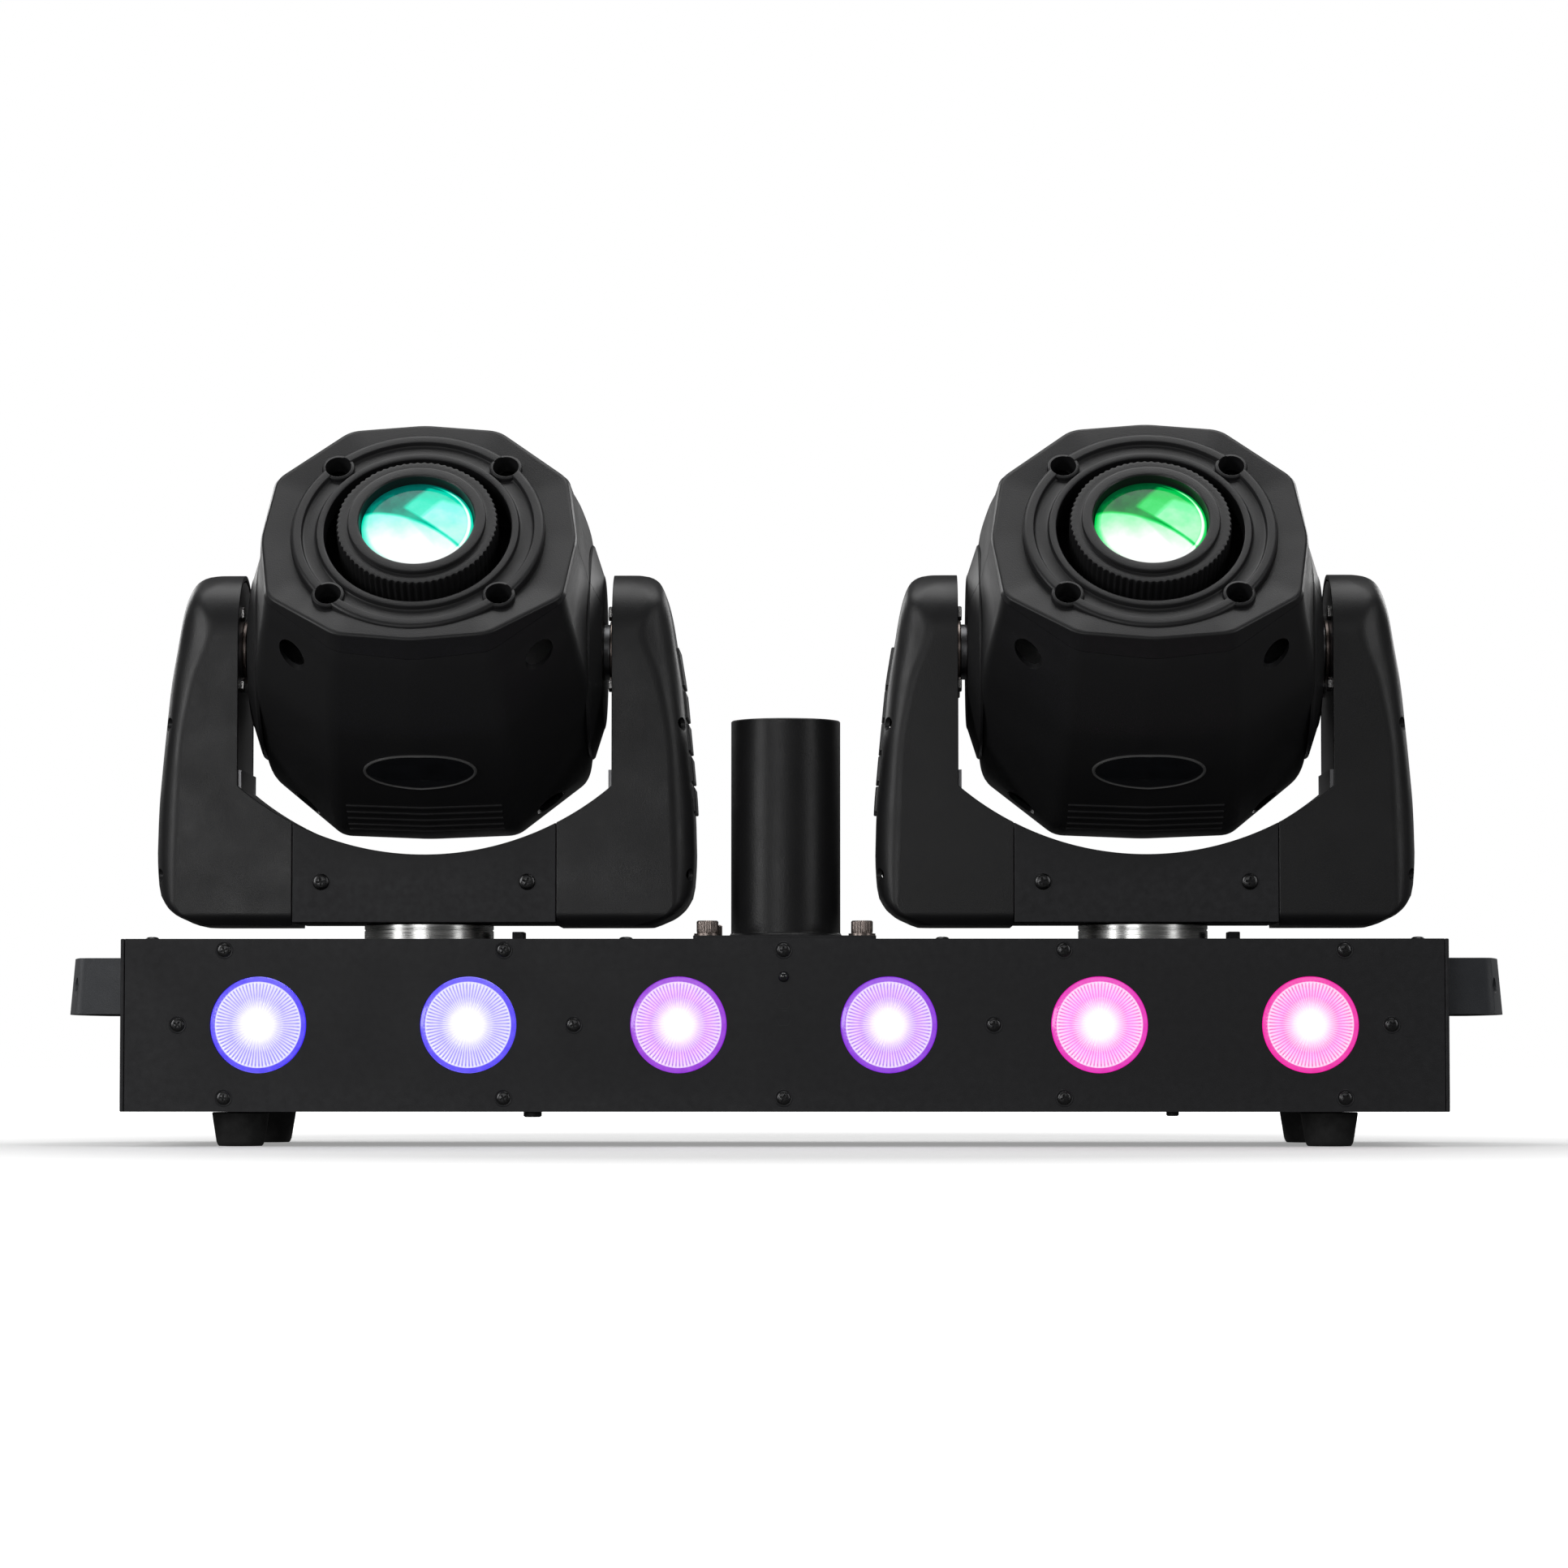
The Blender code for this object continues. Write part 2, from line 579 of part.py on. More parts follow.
BODY = [  # depth, corner x, corner z, upper edge x, upper edge z, crown z, side x: front to back
    (76.5, 67.9, 36.5, 35.2, 63.0, 66.8, 72.4),
    (56, 72.5, 41.5, 37.5, 70.0, 73.2, 75.8),
    (30, 76.0, 45.0, 39.5, 76.0, 78.5, 78.4),
    (0, 77.0, 46.0, 40.5, 78.4, 80.2, 79.2),
    (-30, 75.6, 44.0, 41.0, 77.2, 79.0, 79.0),
    (-54, 73.0, 34.5, 41.0, 66.5, 68.6, 75.5),
    (-72, 66.5, 16.5, 39.0, 48.0, 50.0, 68.0),
]
FACE = (87.0, 67.0, 36.0, 34.5, 61.5, 65.0, 72.0)


def octagon(row, wall=0.0, depths=None):
    """Twelve points of the head's section; depths gives crown, edge, corner and side their own depth."""
    depth, corner_x, corner_z, edge_x, edge_z, crown, side = row
    crown_d, edge_d, corner_d, side_d = depths or (depth,) * 4
    slim = wall * 0.7
    quarter = [(0, crown - wall, crown_d), (edge_x - slim * 0.6, edge_z - wall, edge_d),
               (corner_x - wall, corner_z - slim * 0.6, corner_d), (side - wall, 0, side_d)]
    right = quarter + [(x, -z, d) for x, z, d in quarter[2::-1]]
    points = right + [(-x, z, d) for x, z, d in right[5:0:-1]]
    return [(x, -d, z) for x, z, d in points]


SEAM = (75.0, 76.5, 80.0, 79.6)        # the bezel's rear edge: crown, edge, corner, side
FACE_DEPTHS = (87.0, 87.0, 82.7, 82.0)


def head_body(wall, front, rear):
    """Closed body of the head, thinner all round by a wall."""
    rings = [octagon(BODY[0], wall, [d + front for d in SEAM])]
    rings += [octagon(row, wall) for row in BODY[1:-1]]
    last = BODY[-1]
    rings.append(octagon((last[0] + rear,) + last[1:], wall))
    return loft(rings)


def shell(label, tilt, side, upper):
    """Half of the head's casing: wall, side boss round the tilt shaft, screw pockets and rear vents."""
    case = Piece(label, head_body(0, 0, 0), "plastic_black", tilt, side)
    case.cut(head_body(SHELL_WALL, 8, SHELL_WALL))
    boss = [(0, 82), (36, 82), (50, 77), (50, 75.2), (0, 75.2)]
    case.join(turned(boss, "x", segments=20), turned([(r, -x) for r, x in boss[::-1]], "x", segments=20))
    case.cut(rod(COLLAR_RADIUS + 0.6, -90, 90, "x", segments=16))
    way = 1 if upper else -1
    if not upper:
        for x, depth, floor in ((56, 62, 34), (57, -38, 38)):
            for place in (-x, x):
                case.cut(rod(6, -90, -floor, centre=(place, -depth, 0), segments=10))
    slots = [box((x - 2, 60, min(way * 8, way * 36)), (x + 2, 80, max(way * 8, way * 36)))
             for x in range(-30, 31, 15)]
    case.cut(together(slots))
    low, high = (GAP / 2, 100) if upper else (-100, -GAP / 2)
    case.keep(box((-100, -100, low), (100, 100, high)))


def front_bezel(label, tilt, side):
    """Faceted face: raised ring, groove and lip round the lens recess, and four deep screw holes."""
    back = [(x, y - GAP, z) for x, y, z in octagon(BODY[0], 0, SEAM)]
    bezel = Piece(label, loft([octagon(FACE, 0, FACE_DEPTHS), back]), "plastic_black", tilt, side)
    bezel.join(rod(58, 79.5, 88, "front", segments=28))
    bezel.cut(rod(42.6, 60, 95, "front", segments=28))
    bezel.cut(turned([(46, 89), (53, 89), (53, 85.6), (46, 85.6)], "front", segments=28, ring=True))
    bezel.cut(together([rod(5.75, 78.0, 95, "front", (x, 0, z), 8)
                        for x in (-38.5, 38.5) for z in (-38.2, 38.2)]))


def head_frame(label, tilt, side):
    """Metal carrier: lens barrel, cross plate, cheeks, tilt shafts and the driven tilt pulley."""
    cross = [(-70, -32), (70, -32), (70, 34), (52, 52), (-52, 52), (-70, 34)]
    frame = Piece(label, plate([cross], -30, -28, "XZ"), "steel", tilt, side)
    frame.join(box((-70, -29, -24), (-68, 46, 24)), box((68, -29, -24), (70, 46, 24)))
    frame.join(box((-69, 44, -24), (69, 46, 24)))
    frame.join(rod(26.4, 29, 78, "front", segments=16))
    frame.cut(rod(22.5, 20, 80, "front", segments=16))
    frame.cut(box((-32, 40, -20), (32, 50, 20)))
    shaft = [(0, 111), (17.6, 111), (17.6, BELT_PLANE[0]), (19, BELT_PLANE[0] - 0.6), (19, 101.2),
             (8.6, 101.2), (8.6, 86), (COLLAR_RADIUS, 86), (COLLAR_RADIUS, 69), (0, 69)]
    frame.join(turned(shaft, "x", segments=16))
    stub = [(0, -69), (COLLAR_RADIUS, -69), (COLLAR_RADIUS, -86), (8.6, -86), (8.6, -98), (0, -98)]
    frame.join(turned(stub, "x", segments=16))
    for x, end in ((-WHEEL_OFFSET, 4), (WHEEL_OFFSET, 12)):
        frame.join(rod(2, end, 28.5, "front", (x, 0, WHEEL_OFFSET), 8))


def optics(name, tilt, side):
    """Focus ring, the lens it drives, both filter wheels and the light engine."""
    ring = [(26.3, 95), (31.4, 95), (31.4, 93), (36.8, 92.4), (36.8, 66), (27, 66), (27, 79), (26.3, 79)]
    Piece(f"{name}_focus_ring", turned(ring, "front", segments=24, ring=True), "plastic_black", tilt, side)
    lens = [(0, 94), (9, 93.6), (17, 92.5), (25.4, 90), (25.4, 83.5), (0, 81.8)]
    Piece(f"{name}_objective_lens", turned(lens, "front", segments=24), "glass", tilt, side)
    for kind, x, depth, windows in (("colour_wheel", -WHEEL_OFFSET, 7, 6), ("gobo_wheel", WHEEL_OFFSET, 15, 6)):
        wheel(f"{name}_{kind}", tilt, side, x, depth, windows)
    engine = Piece(f"{name}_light_engine", box((-28, 22, -19), (28, 60, 19)), "aluminium", tilt, side)
    engine.join(rod(18, -24, 1, "front", segments=16))
    engine.cut(together([box((x, 32, -25), (x + 3.4, 65, 25)) for x in (-22, -12, -2, 8, 18)]))


def wheel(label, tilt, side, x, depth, windows):
    """Disc whose ring of windows passes through the lens axis as it turns."""
    reach = math.hypot(WHEEL_OFFSET, WHEEL_OFFSET)
    start = math.atan2(-WHEEL_OFFSET, -x)
    holes = [circle(4.6, (x + reach * math.cos(start + 2 * math.pi * i / windows),
                          WHEEL_OFFSET + reach * math.sin(start + 2 * math.pi * i / windows)), 6)
             for i in range(windows)]
    holes.append(circle(2.6, (x, WHEEL_OFFSET), 8))
    rim = circle(WHEEL_RADIUS, (x, WHEEL_OFFSET), 20)
    Piece(label, plate([rim] + holes, -depth - 1.4, -depth, "XZ"), "aluminium", tilt, side, smooth=False,
          origin=(x, -depth - 0.7, WHEEL_OFFSET))


# ---- assembly ----

def start():
    """Empty scene with a collection for the parts and one for the tools."""
    for item in list(bpy.data.objects):
        bpy.data.objects.remove(item, do_unlink=True)
    Piece.parts = bpy.data.collections.new("twin_moving_head_bar")
    Piece.tools = bpy.data.collections.new("tools")
    for group in (Piece.parts, Piece.tools):
        bpy.context.scene.collection.children.link(group)


def build_bar(centre):
    chassis(centre)
    top_cover(centre)
    front_panel(centre)
    led_lenses(centre)
    led_board(centre)
    power_supply(centre)
    rear_panel(centre)
    power_inlet(centre)
    feet(centre)
    handles(centre)
    stand_socket(centre)


def build_unit(name, side, centre):
    """One moving head; side is -1 on the left and 1 on the right."""
    pan_bearing(name, centre, side)
    pan = empty(f"{name}_pan_axis", (side * PAN_X, BAR_Y, 0))
    yoke_frame(name, pan, side)
    yoke_base_cover(name, pan, side)
    arm_cover(f"{name}_arm_cover_outer", pan, side, False)
    arm_cover(f"{name}_arm_cover_inner", pan, -side, True)
    motors(name, pan, side)
    tilt = empty(f"{name}_tilt_axis", (0, 0, TILT_Z), pan, -HEAD_ELEVATION)
    shell(f"{name}_lower_shell", tilt, side, False)
    shell(f"{name}_upper_shell", tilt, side, True)
    front_bezel(f"{name}_front_bezel", tilt, side)
    head_frame(f"{name}_head_frame", tilt, side)
    optics(name, tilt, side)


def main():
    start()
    centre = empty("bar_centre", (0, BAR_Y, 0))
    build_bar(centre)
    build_unit("left", -1, centre)
    build_unit("right", 1, centre)


main()
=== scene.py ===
"""Looks of the twin moving head light bar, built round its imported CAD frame.

Shapes are described in millimetres in three local frames: the bar's, a yoke's and a head's.
A head's lens looks along -Y and its tilt axis is X, as at zero elevation. A yoke and a head are
described for the right-hand unit and mirrored for the left-hand one.
"""

import json
import math

import bmesh
import bpy
from mathutils import Matrix, Vector


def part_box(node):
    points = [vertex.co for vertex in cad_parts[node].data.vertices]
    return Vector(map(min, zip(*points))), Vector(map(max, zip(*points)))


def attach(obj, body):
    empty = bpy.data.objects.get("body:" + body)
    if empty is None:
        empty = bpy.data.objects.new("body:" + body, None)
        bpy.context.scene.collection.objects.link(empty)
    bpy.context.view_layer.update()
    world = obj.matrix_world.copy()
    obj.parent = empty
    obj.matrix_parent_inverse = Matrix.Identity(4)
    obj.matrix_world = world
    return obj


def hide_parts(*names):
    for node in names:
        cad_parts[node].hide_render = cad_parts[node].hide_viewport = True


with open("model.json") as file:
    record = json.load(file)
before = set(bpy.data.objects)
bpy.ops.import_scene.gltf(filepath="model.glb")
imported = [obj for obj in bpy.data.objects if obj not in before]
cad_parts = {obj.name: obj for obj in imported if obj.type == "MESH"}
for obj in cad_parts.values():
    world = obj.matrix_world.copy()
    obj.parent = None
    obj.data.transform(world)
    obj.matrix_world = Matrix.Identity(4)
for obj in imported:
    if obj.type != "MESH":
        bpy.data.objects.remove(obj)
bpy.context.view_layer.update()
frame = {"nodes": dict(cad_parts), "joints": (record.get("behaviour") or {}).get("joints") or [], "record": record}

MM = 0.001
joints = {joint["name"]: joint for joint in frame["joints"]}


def node_box(node):
    """Lowest and highest corner of a CAD node in millimetres."""
    low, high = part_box(node)
    return low / MM, high / MM


# Driving dimensions, read from the frame
PAN_X, BAR_Y = (v / MM for v in joints["right_pan"]["pos_m"][:2])
TILT_Z = joints["right_tilt"]["pos_m"][2] / MM
LENS_UP = math.asin(joints["right_focus"]["axis"][2])
TRAY_HIGH = node_box("chassis_tray")[1]
PANEL_LOW, PANEL_HIGH = node_box("front_panel")
TUBE_TOP = node_box("stand_socket")[1].z
BAR_HALF = TRAY_HIGH.x
BAR_DEEP = (PANEL_HIGH.y - PANEL_LOW.y) / 2 + (TRAY_HIGH.y - PANEL_HIGH.y) / 2
BAR_TOP, BAR_BOTTOM = TRAY_HIGH.z, PANEL_LOW.z
LED_BOXES = [node_box(f"led_lens_{number}") for number in range(1, 7)]
LED_HEIGHT = (LED_BOXES[0][0].z + LED_BOXES[0][1].z) / 2
ARM_TOP = node_box("right_arm_cover_outer")[1].z
ARM_FOOT = node_box("right_arm_cover_outer")[0].z

GAP = 0.3
SHEET = 1.8
LED_RADIUS, LENS_RADIUS = 21.4, 25.4
TUBE_RADIUS, TUBE_BORE = 25.5, 22.5
COLUMN_RADIUS, HUB_RADIUS = 30.1, 14.0
YOKE_FLOOR, YOKE_HALF_DEPTH, YOKE_INNER, YOKE_BASE = 102.4, 31.0, 86.4, 61.0
SWEEP_RADIUS, SWEEP_CENTRE = 133.6, 267.4
ARM_TOP_RADIUS = 31.0
ARM_TOP_CENTRE = ARM_TOP - ARM_TOP_RADIUS
SHELL_WALL = 2.4
COLLAR_RADIUS = 13.0
TILT_MOTOR_Z, PAN_MOTOR_X = 125.5, 38.0
NOTCH_HEIGHTS = (124.5, 194.5)
NOTCH_DEPTH = 24.5


# ---- places: matrices from a local frame in millimetres to the row frame in millimetres ----

BAR_PLACE = Matrix.Translation((0, BAR_Y, 0))


def yoke_place(side):
    return Matrix.Translation((side * PAN_X, BAR_Y, 0)) @ Matrix.Diagonal((side, 1, 1, 1))


def head_place(side, mirrored=True):
    flip = Matrix.Diagonal((side if mirrored else 1, 1, 1, 1))
    return Matrix.Translation((side * PAN_X, BAR_Y, TILT_Z)) @ flip @ Matrix.Rotation(-LENS_UP, 4, "X")


# ---- shapes: each gives a bmesh in millimetres ----

def box(low, high):
    shape = bmesh.new()
    bmesh.ops.create_cube(shape, size=1.0)
    low, high = Vector(low), Vector(high)
    bmesh.ops.scale(shape, vec=high - low, verts=shape.verts)
    bmesh.ops.translate(shape, vec=(high + low) / 2, verts=shape.verts)
    return shape


AXES = {"z": Matrix.Identity(3), "x": Matrix.Rotation(math.pi / 2, 3, "Y"),
        "front": Matrix.Rotation(math.pi / 2, 3, "X"), "y": Matrix.Rotation(-math.pi / 2, 3, "X"),
        "down": Matrix.Rotation(math.pi, 3, "X")}


def laid(shape, axis, centre=(0, 0, 0)):
    """Lay a shape's local Z along a named direction, then move it."""
    bmesh.ops.rotate(shape, matrix=AXES[axis], verts=shape.verts)
    bmesh.ops.translate(shape, vec=Vector(centre), verts=shape.verts)
    return shape


def facing_out(shape):
    bmesh.ops.recalc_face_normals(shape, faces=shape.faces)
    if shape.calc_volume(signed=True) < 0:
        bmesh.ops.reverse_faces(shape, faces=shape.faces)
    return shape


def skinned(rows, closed=False):
    """Faces between rows of points. A row of one point is a tip; closed joins the last row to the first."""
    shape = bmesh.new()
    rows = [[shape.verts.new(point) for point in row] for row in rows]
    count = max(len(row) for row in rows)
    for near, far in zip(rows, rows[1:] + (rows[:1] if closed else [])):
        for i in range(count):
            j = (i + 1) % count
            around = [near[i % len(near)], near[j % len(near)], far[j % len(far)], far[i % len(far)]]
            corners = list(dict.fromkeys(around))
            if len(corners) > 2:
                shape.faces.new(corners)
    return shape


def angles_round(count):
    return [2 * math.pi * i / count for i in range(count)]


def turned(profile, axis="z", centre=(0, 0, 0), segments=96, ring=False, ripple=None):
    """Turn a profile of (radius, height) points; ripple(angle, radius, height) may change the radius."""
    rows = []
    for radius, height in profile:
        row = []
        for angle in angles_round(segments if radius > 1e-6 else 1):
            reach = ripple(angle, radius, height) if ripple else radius
            row.append((reach * math.cos(angle), reach * math.sin(angle), height))
        rows.append(row)
    return laid(facing_out(skinned(rows, ring)), axis, centre)


def rod(radius, start, end, axis="z", centre=(0, 0, 0), segments=48):
    return turned([(0, start), (radius, start), (radius, end), (0, end)], axis, centre, segments)


def loft(rings):
    """Join rings of equally many points and close both ends with a fan."""
    shape = skinned(rings)
    shape.verts.ensure_lookup_table()
    count = len(rings[0])
    for start in (0, count * (len(rings) - 1)):
        row = shape.verts[start:start + count]
        middle = shape.verts.new(sum((v.co for v in row), Vector()) / count)
        for i in range(count):
            shape.faces.new((row[i], row[(i + 1) % count], middle))
        shape.verts.ensure_lookup_table()
    return facing_out(shape)


def spread(low, high, count):
    return [low + (high - low) * i / count for i in range(count + 1)]


def circle(radius, centre=(0, 0), segments=96):
    u, v = centre
    return [(u + radius * math.cos(a), v + radius * math.sin(a)) for a in angles_round(segments)]


def rectangle(low_u, high_u, low_v, high_v):
    return [(low_u, low_v), (high_u, low_v), (high_u, high_v), (low_u, high_v)]


def rounded(outline, radii, steps=5):
    """Round each corner of a flat outline, by one radius or by its own."""
    count = len(outline)
    if not isinstance(radii, list):
        radii = [radii] * count
    points = []
    for i, (corner, radius) in enumerate(zip(outline, radii)):
        corner = Vector(corner)
        before, after = Vector(outline[i - 1]) - corner, Vector(outline[(i + 1) % count]) - corner
        reach = min(radius, before.length * 0.45, after.length * 0.45)
        first, last = corner + before.normalized() * reach, corner + after.normalized() * reach
        points += [tuple(curve_point(first, corner, last, k / steps)) for k in range(steps + 1)]
    return points


def curve_point(first, middle, last, share):
    """Point on the quadratic curve that leaves first towards middle and arrives at last."""
    rest = 1 - share
    return first * (rest * rest) + middle * (2 * rest * share) + last * (share * share)


def plate(outlines, low, high, plane):
    """Flat outlines, filled and thickened from low to high across the plane they lie in."""
    curve = bpy.data.curves.new("outline", "CURVE")
    curve.dimensions = "2D"
    curve.fill_mode = "BOTH"
    curve.extrude = (high - low) / 2
    for outline in outlines:
        spline = curve.splines.new("POLY")
        spline.points.add(len(outline) - 1)
        for point, (u, v) in zip(spline.points, outline):
            point.co = (u, v, 0, 1)
        spline.use_cyclic_u = True
    shape = evaluated(bpy.data.objects.new("outline", curve))
    middle = (low + high) / 2
    for vert in shape.verts:
        u, v, w = vert.co.x, vert.co.y, vert.co.z + middle
        vert.co = {"XY": (u, v, w), "XZ": (u, w, v), "YZ": (w, u, v)}[plane]
    return facing_out(shape)


def evaluated(holder):
    """Mesh of an object after its modifiers, as a bmesh; the object is removed."""
    if holder.name not in bpy.context.scene.collection.objects:
        bpy.context.scene.collection.objects.link(holder)
    bpy.context.view_layer.update()
    mesh = bpy.data.meshes.new_from_object(holder.evaluated_get(bpy.context.evaluated_depsgraph_get()))
    bpy.data.objects.remove(holder)
    shape = bmesh.new()
    shape.from_mesh(mesh)
    bpy.data.meshes.remove(mesh)
    bmesh.ops.remove_doubles(shape, verts=shape.verts, dist=1e-4)
    return shape


def meshed(shape, name):
    """Mesh made from a bmesh, which is freed."""
    mesh = bpy.data.meshes.new(name)
    shape.to_mesh(mesh)
    shape.free()
    return mesh


def holder_of(shape, name):
    made = bpy.data.objects.new(name, meshed(shape, name))
    bpy.context.scene.collection.objects.link(made)
    return made


def combined(shape, steps):
    """Exact Booleans in order; steps are ("UNION" | "DIFFERENCE" | "INTERSECT", shape)."""
    base = holder_of(shape, "base")
    tools = []
    for operation, tool in steps:
        tools.append(holder_of(tool, "tool"))
        change = base.modifiers.new("step", "BOOLEAN")
        change.operation = operation
        change.solver = "EXACT"
        change.object = tools[-1]
    whole = evaluated(base)
    for tool in tools:
        bpy.data.objects.remove(tool)
    return whole


def cut(shape, *tools):
    return combined(shape, [("DIFFERENCE", tool) for tool in tools])


def joined(shape, *others):
    return combined(shape, [("UNION", other) for other in others])


def together(shapes):
    """Several separate solids in one bmesh."""
    whole = bmesh.new()
    for shape in shapes:
        mesh = meshed(shape, "shape")
        whole.from_mesh(mesh)
        bpy.data.meshes.remove(mesh)
    return whole


def softened(shape, width, segments=3, angle=32):
    """Round every edge sharper than an angle."""
    bmesh.ops.dissolve_limit(shape, angle_limit=math.radians(0.4), verts=shape.verts, edges=shape.edges)
    limit = math.radians(angle)
    sharp = [e for e in shape.edges if len(e.link_faces) == 2 and e.calc_face_angle(0) > limit]
    bmesh.ops.bevel(shape, geom=sharp, offset=width, segments=segments, profile=0.5, affect="EDGES",
                    clamp_overlap=True)
    return shape


def copied(node):
    """Copy of a CAD node's mesh, welded, in millimetres of the row frame."""
    shape = bmesh.new()
    shape.from_mesh(frame["nodes"][node].data)
    bmesh.ops.remove_doubles(shape, verts=shape.verts, dist=1e-6)
    bmesh.ops.scale(shape, vec=(1 / MM,) * 3, verts=shape.verts)
    return facing_out(shape)


ROW_PLACE = Matrix.Identity(4)  # for shapes copied from the frame


def piece(name, shape, place, body, slot, stands_for=(), finish=None, sharp=38, local=False):
    """Object from a shape: in the row frame, riding on a body, with its material slot and finish."""
    if not local:
        bmesh.ops.transform(shape, matrix=place, verts=shape.verts)
    if place.determinant() < 0:
        bmesh.ops.reverse_faces(shape, faces=shape.faces)
    bmesh.ops.scale(shape, vec=(MM,) * 3, verts=shape.verts)
    mesh = meshed(shape, name)
    mesh.shade_smooth()
    mesh.set_sharp_from_angle(angle=math.radians(sharp))
    mesh.materials.append(None)
    made = bpy.data.objects.new(name, mesh)
    bpy.context.scene.collection.objects.link(made)
    made.material_slots[0].link = "OBJECT"
    made.material_slots[0].material = finish or FINISHES[slot]
    if local:
        made.matrix_world = Matrix.Translation(place.translation * MM) @ place.to_3x3().to_4x4()
    weighted = made.modifiers.new("Flat faces stay flat", "WEIGHTED_NORMAL")
    weighted.keep_sharp = True
    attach(made, body)
    if stands_for:
        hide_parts(*stands_for)


def slot_of(node):
    return next(row["material_slot"] for row in frame["record"]["subparts"] if row["node"] == node)


def detail(node, shape, place, body, **looks):
    """Detailed piece that stands for one CAD node and takes that node's material slot."""
    piece(f"{node}_detail", shape, place, body, slot_of(node), [node], **looks)


def on_bar(name, shape, slot="powder_black", **looks):
    """Piece of the bar that isn't named after a CAD node."""
    piece(name, shape, BAR_PLACE, "base", slot, **looks)


# ---- finishes ----

class Finish:
    """A Principled material whose colour, roughness and bump come from small node chains."""

    def __init__(self, name, colour, roughness, metallic=0.0, **sockets):
        self.material = bpy.data.materials.new(name)
        self.material.use_nodes = True
        self.nodes, self.links = self.material.node_tree.nodes, self.material.node_tree.links
        self.shader = self.nodes["Principled BSDF"]
        self.colour, self.roughness = colour, roughness
        self.shader.inputs["Metallic"].default_value = metallic
        for socket, value in sockets.items():
            self.shader.inputs[socket.replace("_", " ")].default_value = value
        self.coordinates = self.nodes.new("ShaderNodeTexCoord").outputs["Object"]
        self.normal = None

    def noise(self, size, stretch=(1, 1, 1), detail=3.0, rough=0.55):
        """Noise whose features are size metres, stretched along the axes."""
        mapping = self.nodes.new("ShaderNodeMapping")
        mapping.inputs["Scale"].default_value = [1 / (size * s) for s in stretch]
        self.links.new(self.coordinates, mapping.inputs["Vector"])
        noise = self.nodes.new("ShaderNodeTexNoise")
        noise.inputs["Scale"].default_value = 1.0
        noise.inputs["Detail"].default_value = detail
        noise.inputs["Roughness"].default_value = rough
        self.links.new(mapping.outputs["Vector"], noise.inputs["Vector"])
        return noise.outputs["Fac"]

    def cells(self, size):
        """Cell pattern of a moulded or sprayed skin."""
        voronoi = self.nodes.new("ShaderNodeTexVoronoi")
        voronoi.inputs["Scale"].default_value = 1 / size
        self.links.new(self.coordinates, voronoi.inputs["Vector"])
        return voronoi.outputs["Distance"]

    def mapped(self, value, low, high, start=0.3, end=0.7):
        """Value spread from low to high."""
        spread = self.nodes.new("ShaderNodeMapRange")
        spread.inputs["From Min"].default_value, spread.inputs["From Max"].default_value = start, end
        spread.inputs["To Min"].default_value, spread.inputs["To Max"].default_value = low, high
        self.links.new(value, spread.inputs["Value"])
        return spread.outputs["Result"]

    def tinted(self, value, first, second):
        """Base colour between two colours."""
        self.links.new(self.blend(value, first, second), self.shader.inputs["Base Color"])

    def rough(self, value, spread):
        """Roughness round the finish's own value."""
        self.links.new(self.mapped(value, self.roughness - spread, self.roughness + spread),
                       self.shader.inputs["Roughness"])

    def bumped(self, height, distance, strength=1.0):
        bump = self.nodes.new("ShaderNodeBump")
        bump.inputs["Distance"].default_value = distance
        bump.inputs["Strength"].default_value = strength
        self.links.new(height, bump.inputs["Height"])
        if self.normal:
            self.links.new(self.normal, bump.inputs["Normal"])
        self.normal = bump.outputs["Normal"]
        self.links.new(self.normal, self.shader.inputs["Normal"])

    def worn(self, first, second, share=0.55):
        """Colour that lifts a little along outward edges."""
        pointy = self.nodes.new("ShaderNodeNewGeometry").outputs["Pointiness"]
        edge = self.mapped(pointy, 0.0, share, 0.52, 0.60)
        blotch = self.times(edge, self.mapped(self.noise(0.004), 0.2, 1.0))
        self.tinted(blotch, first, second)

    def maths(self, operation, *values):
        """Math node; its operands are sockets or numbers."""
        node = self.nodes.new("ShaderNodeMath")
        node.operation = operation
        for socket, value in zip(node.inputs, values):
            if isinstance(value, (int, float)):
                socket.default_value = value
            else:
                self.links.new(value, socket)
        return node.outputs["Value"]

    def times(self, first, *others):
        for value in others:
            first = self.maths("MULTIPLY", first, value)
        return first

    def plus(self, first, *others):
        for value in others:
            first = self.maths("ADD", first, value)
        return first

    def distance(self, first, second, unit):
        """Distance from the origin in two coordinates, as a share of a unit."""
        squares = self.plus(self.times(first, first), self.times(second, second))
        return self.maths("DIVIDE", self.maths("SQRT", squares), unit)

    def ramp(self, value, stops):
        """Colour ramp through (position, colour) stops."""
        node = self.nodes.new("ShaderNodeValToRGB")
        elements = node.color_ramp.elements
        for element, (position, colour) in ((elements[0], stops[0]), (elements[1], stops[-1])):
            element.position = position
            element.color = (*colour, 1)
        for position, colour in stops[1:-1]:
            elements.new(position).color = (*colour, 1)
        self.links.new(value, node.inputs["Fac"])
        return node.outputs["Color"]

    def split(self):
        node = self.nodes.new("ShaderNodeSeparateXYZ")
        self.links.new(self.coordinates, node.inputs["Vector"])
        return [node.outputs[axis] for axis in "XYZ"]

    def blend(self, share, first, second):
        """Colour between two colours, each a socket or three numbers."""
        mix = self.nodes.new("ShaderNodeMix")
        mix.data_type = "RGBA"
        for name, colour in (("A", first), ("B", second)):
            if isinstance(colour, tuple):
                mix.inputs[name].default_value = (*colour, 1)
            else:
                self.links.new(colour, mix.inputs[name])
        self.links.new(share, mix.inputs["Factor"])
        return mix.outputs["Result"]

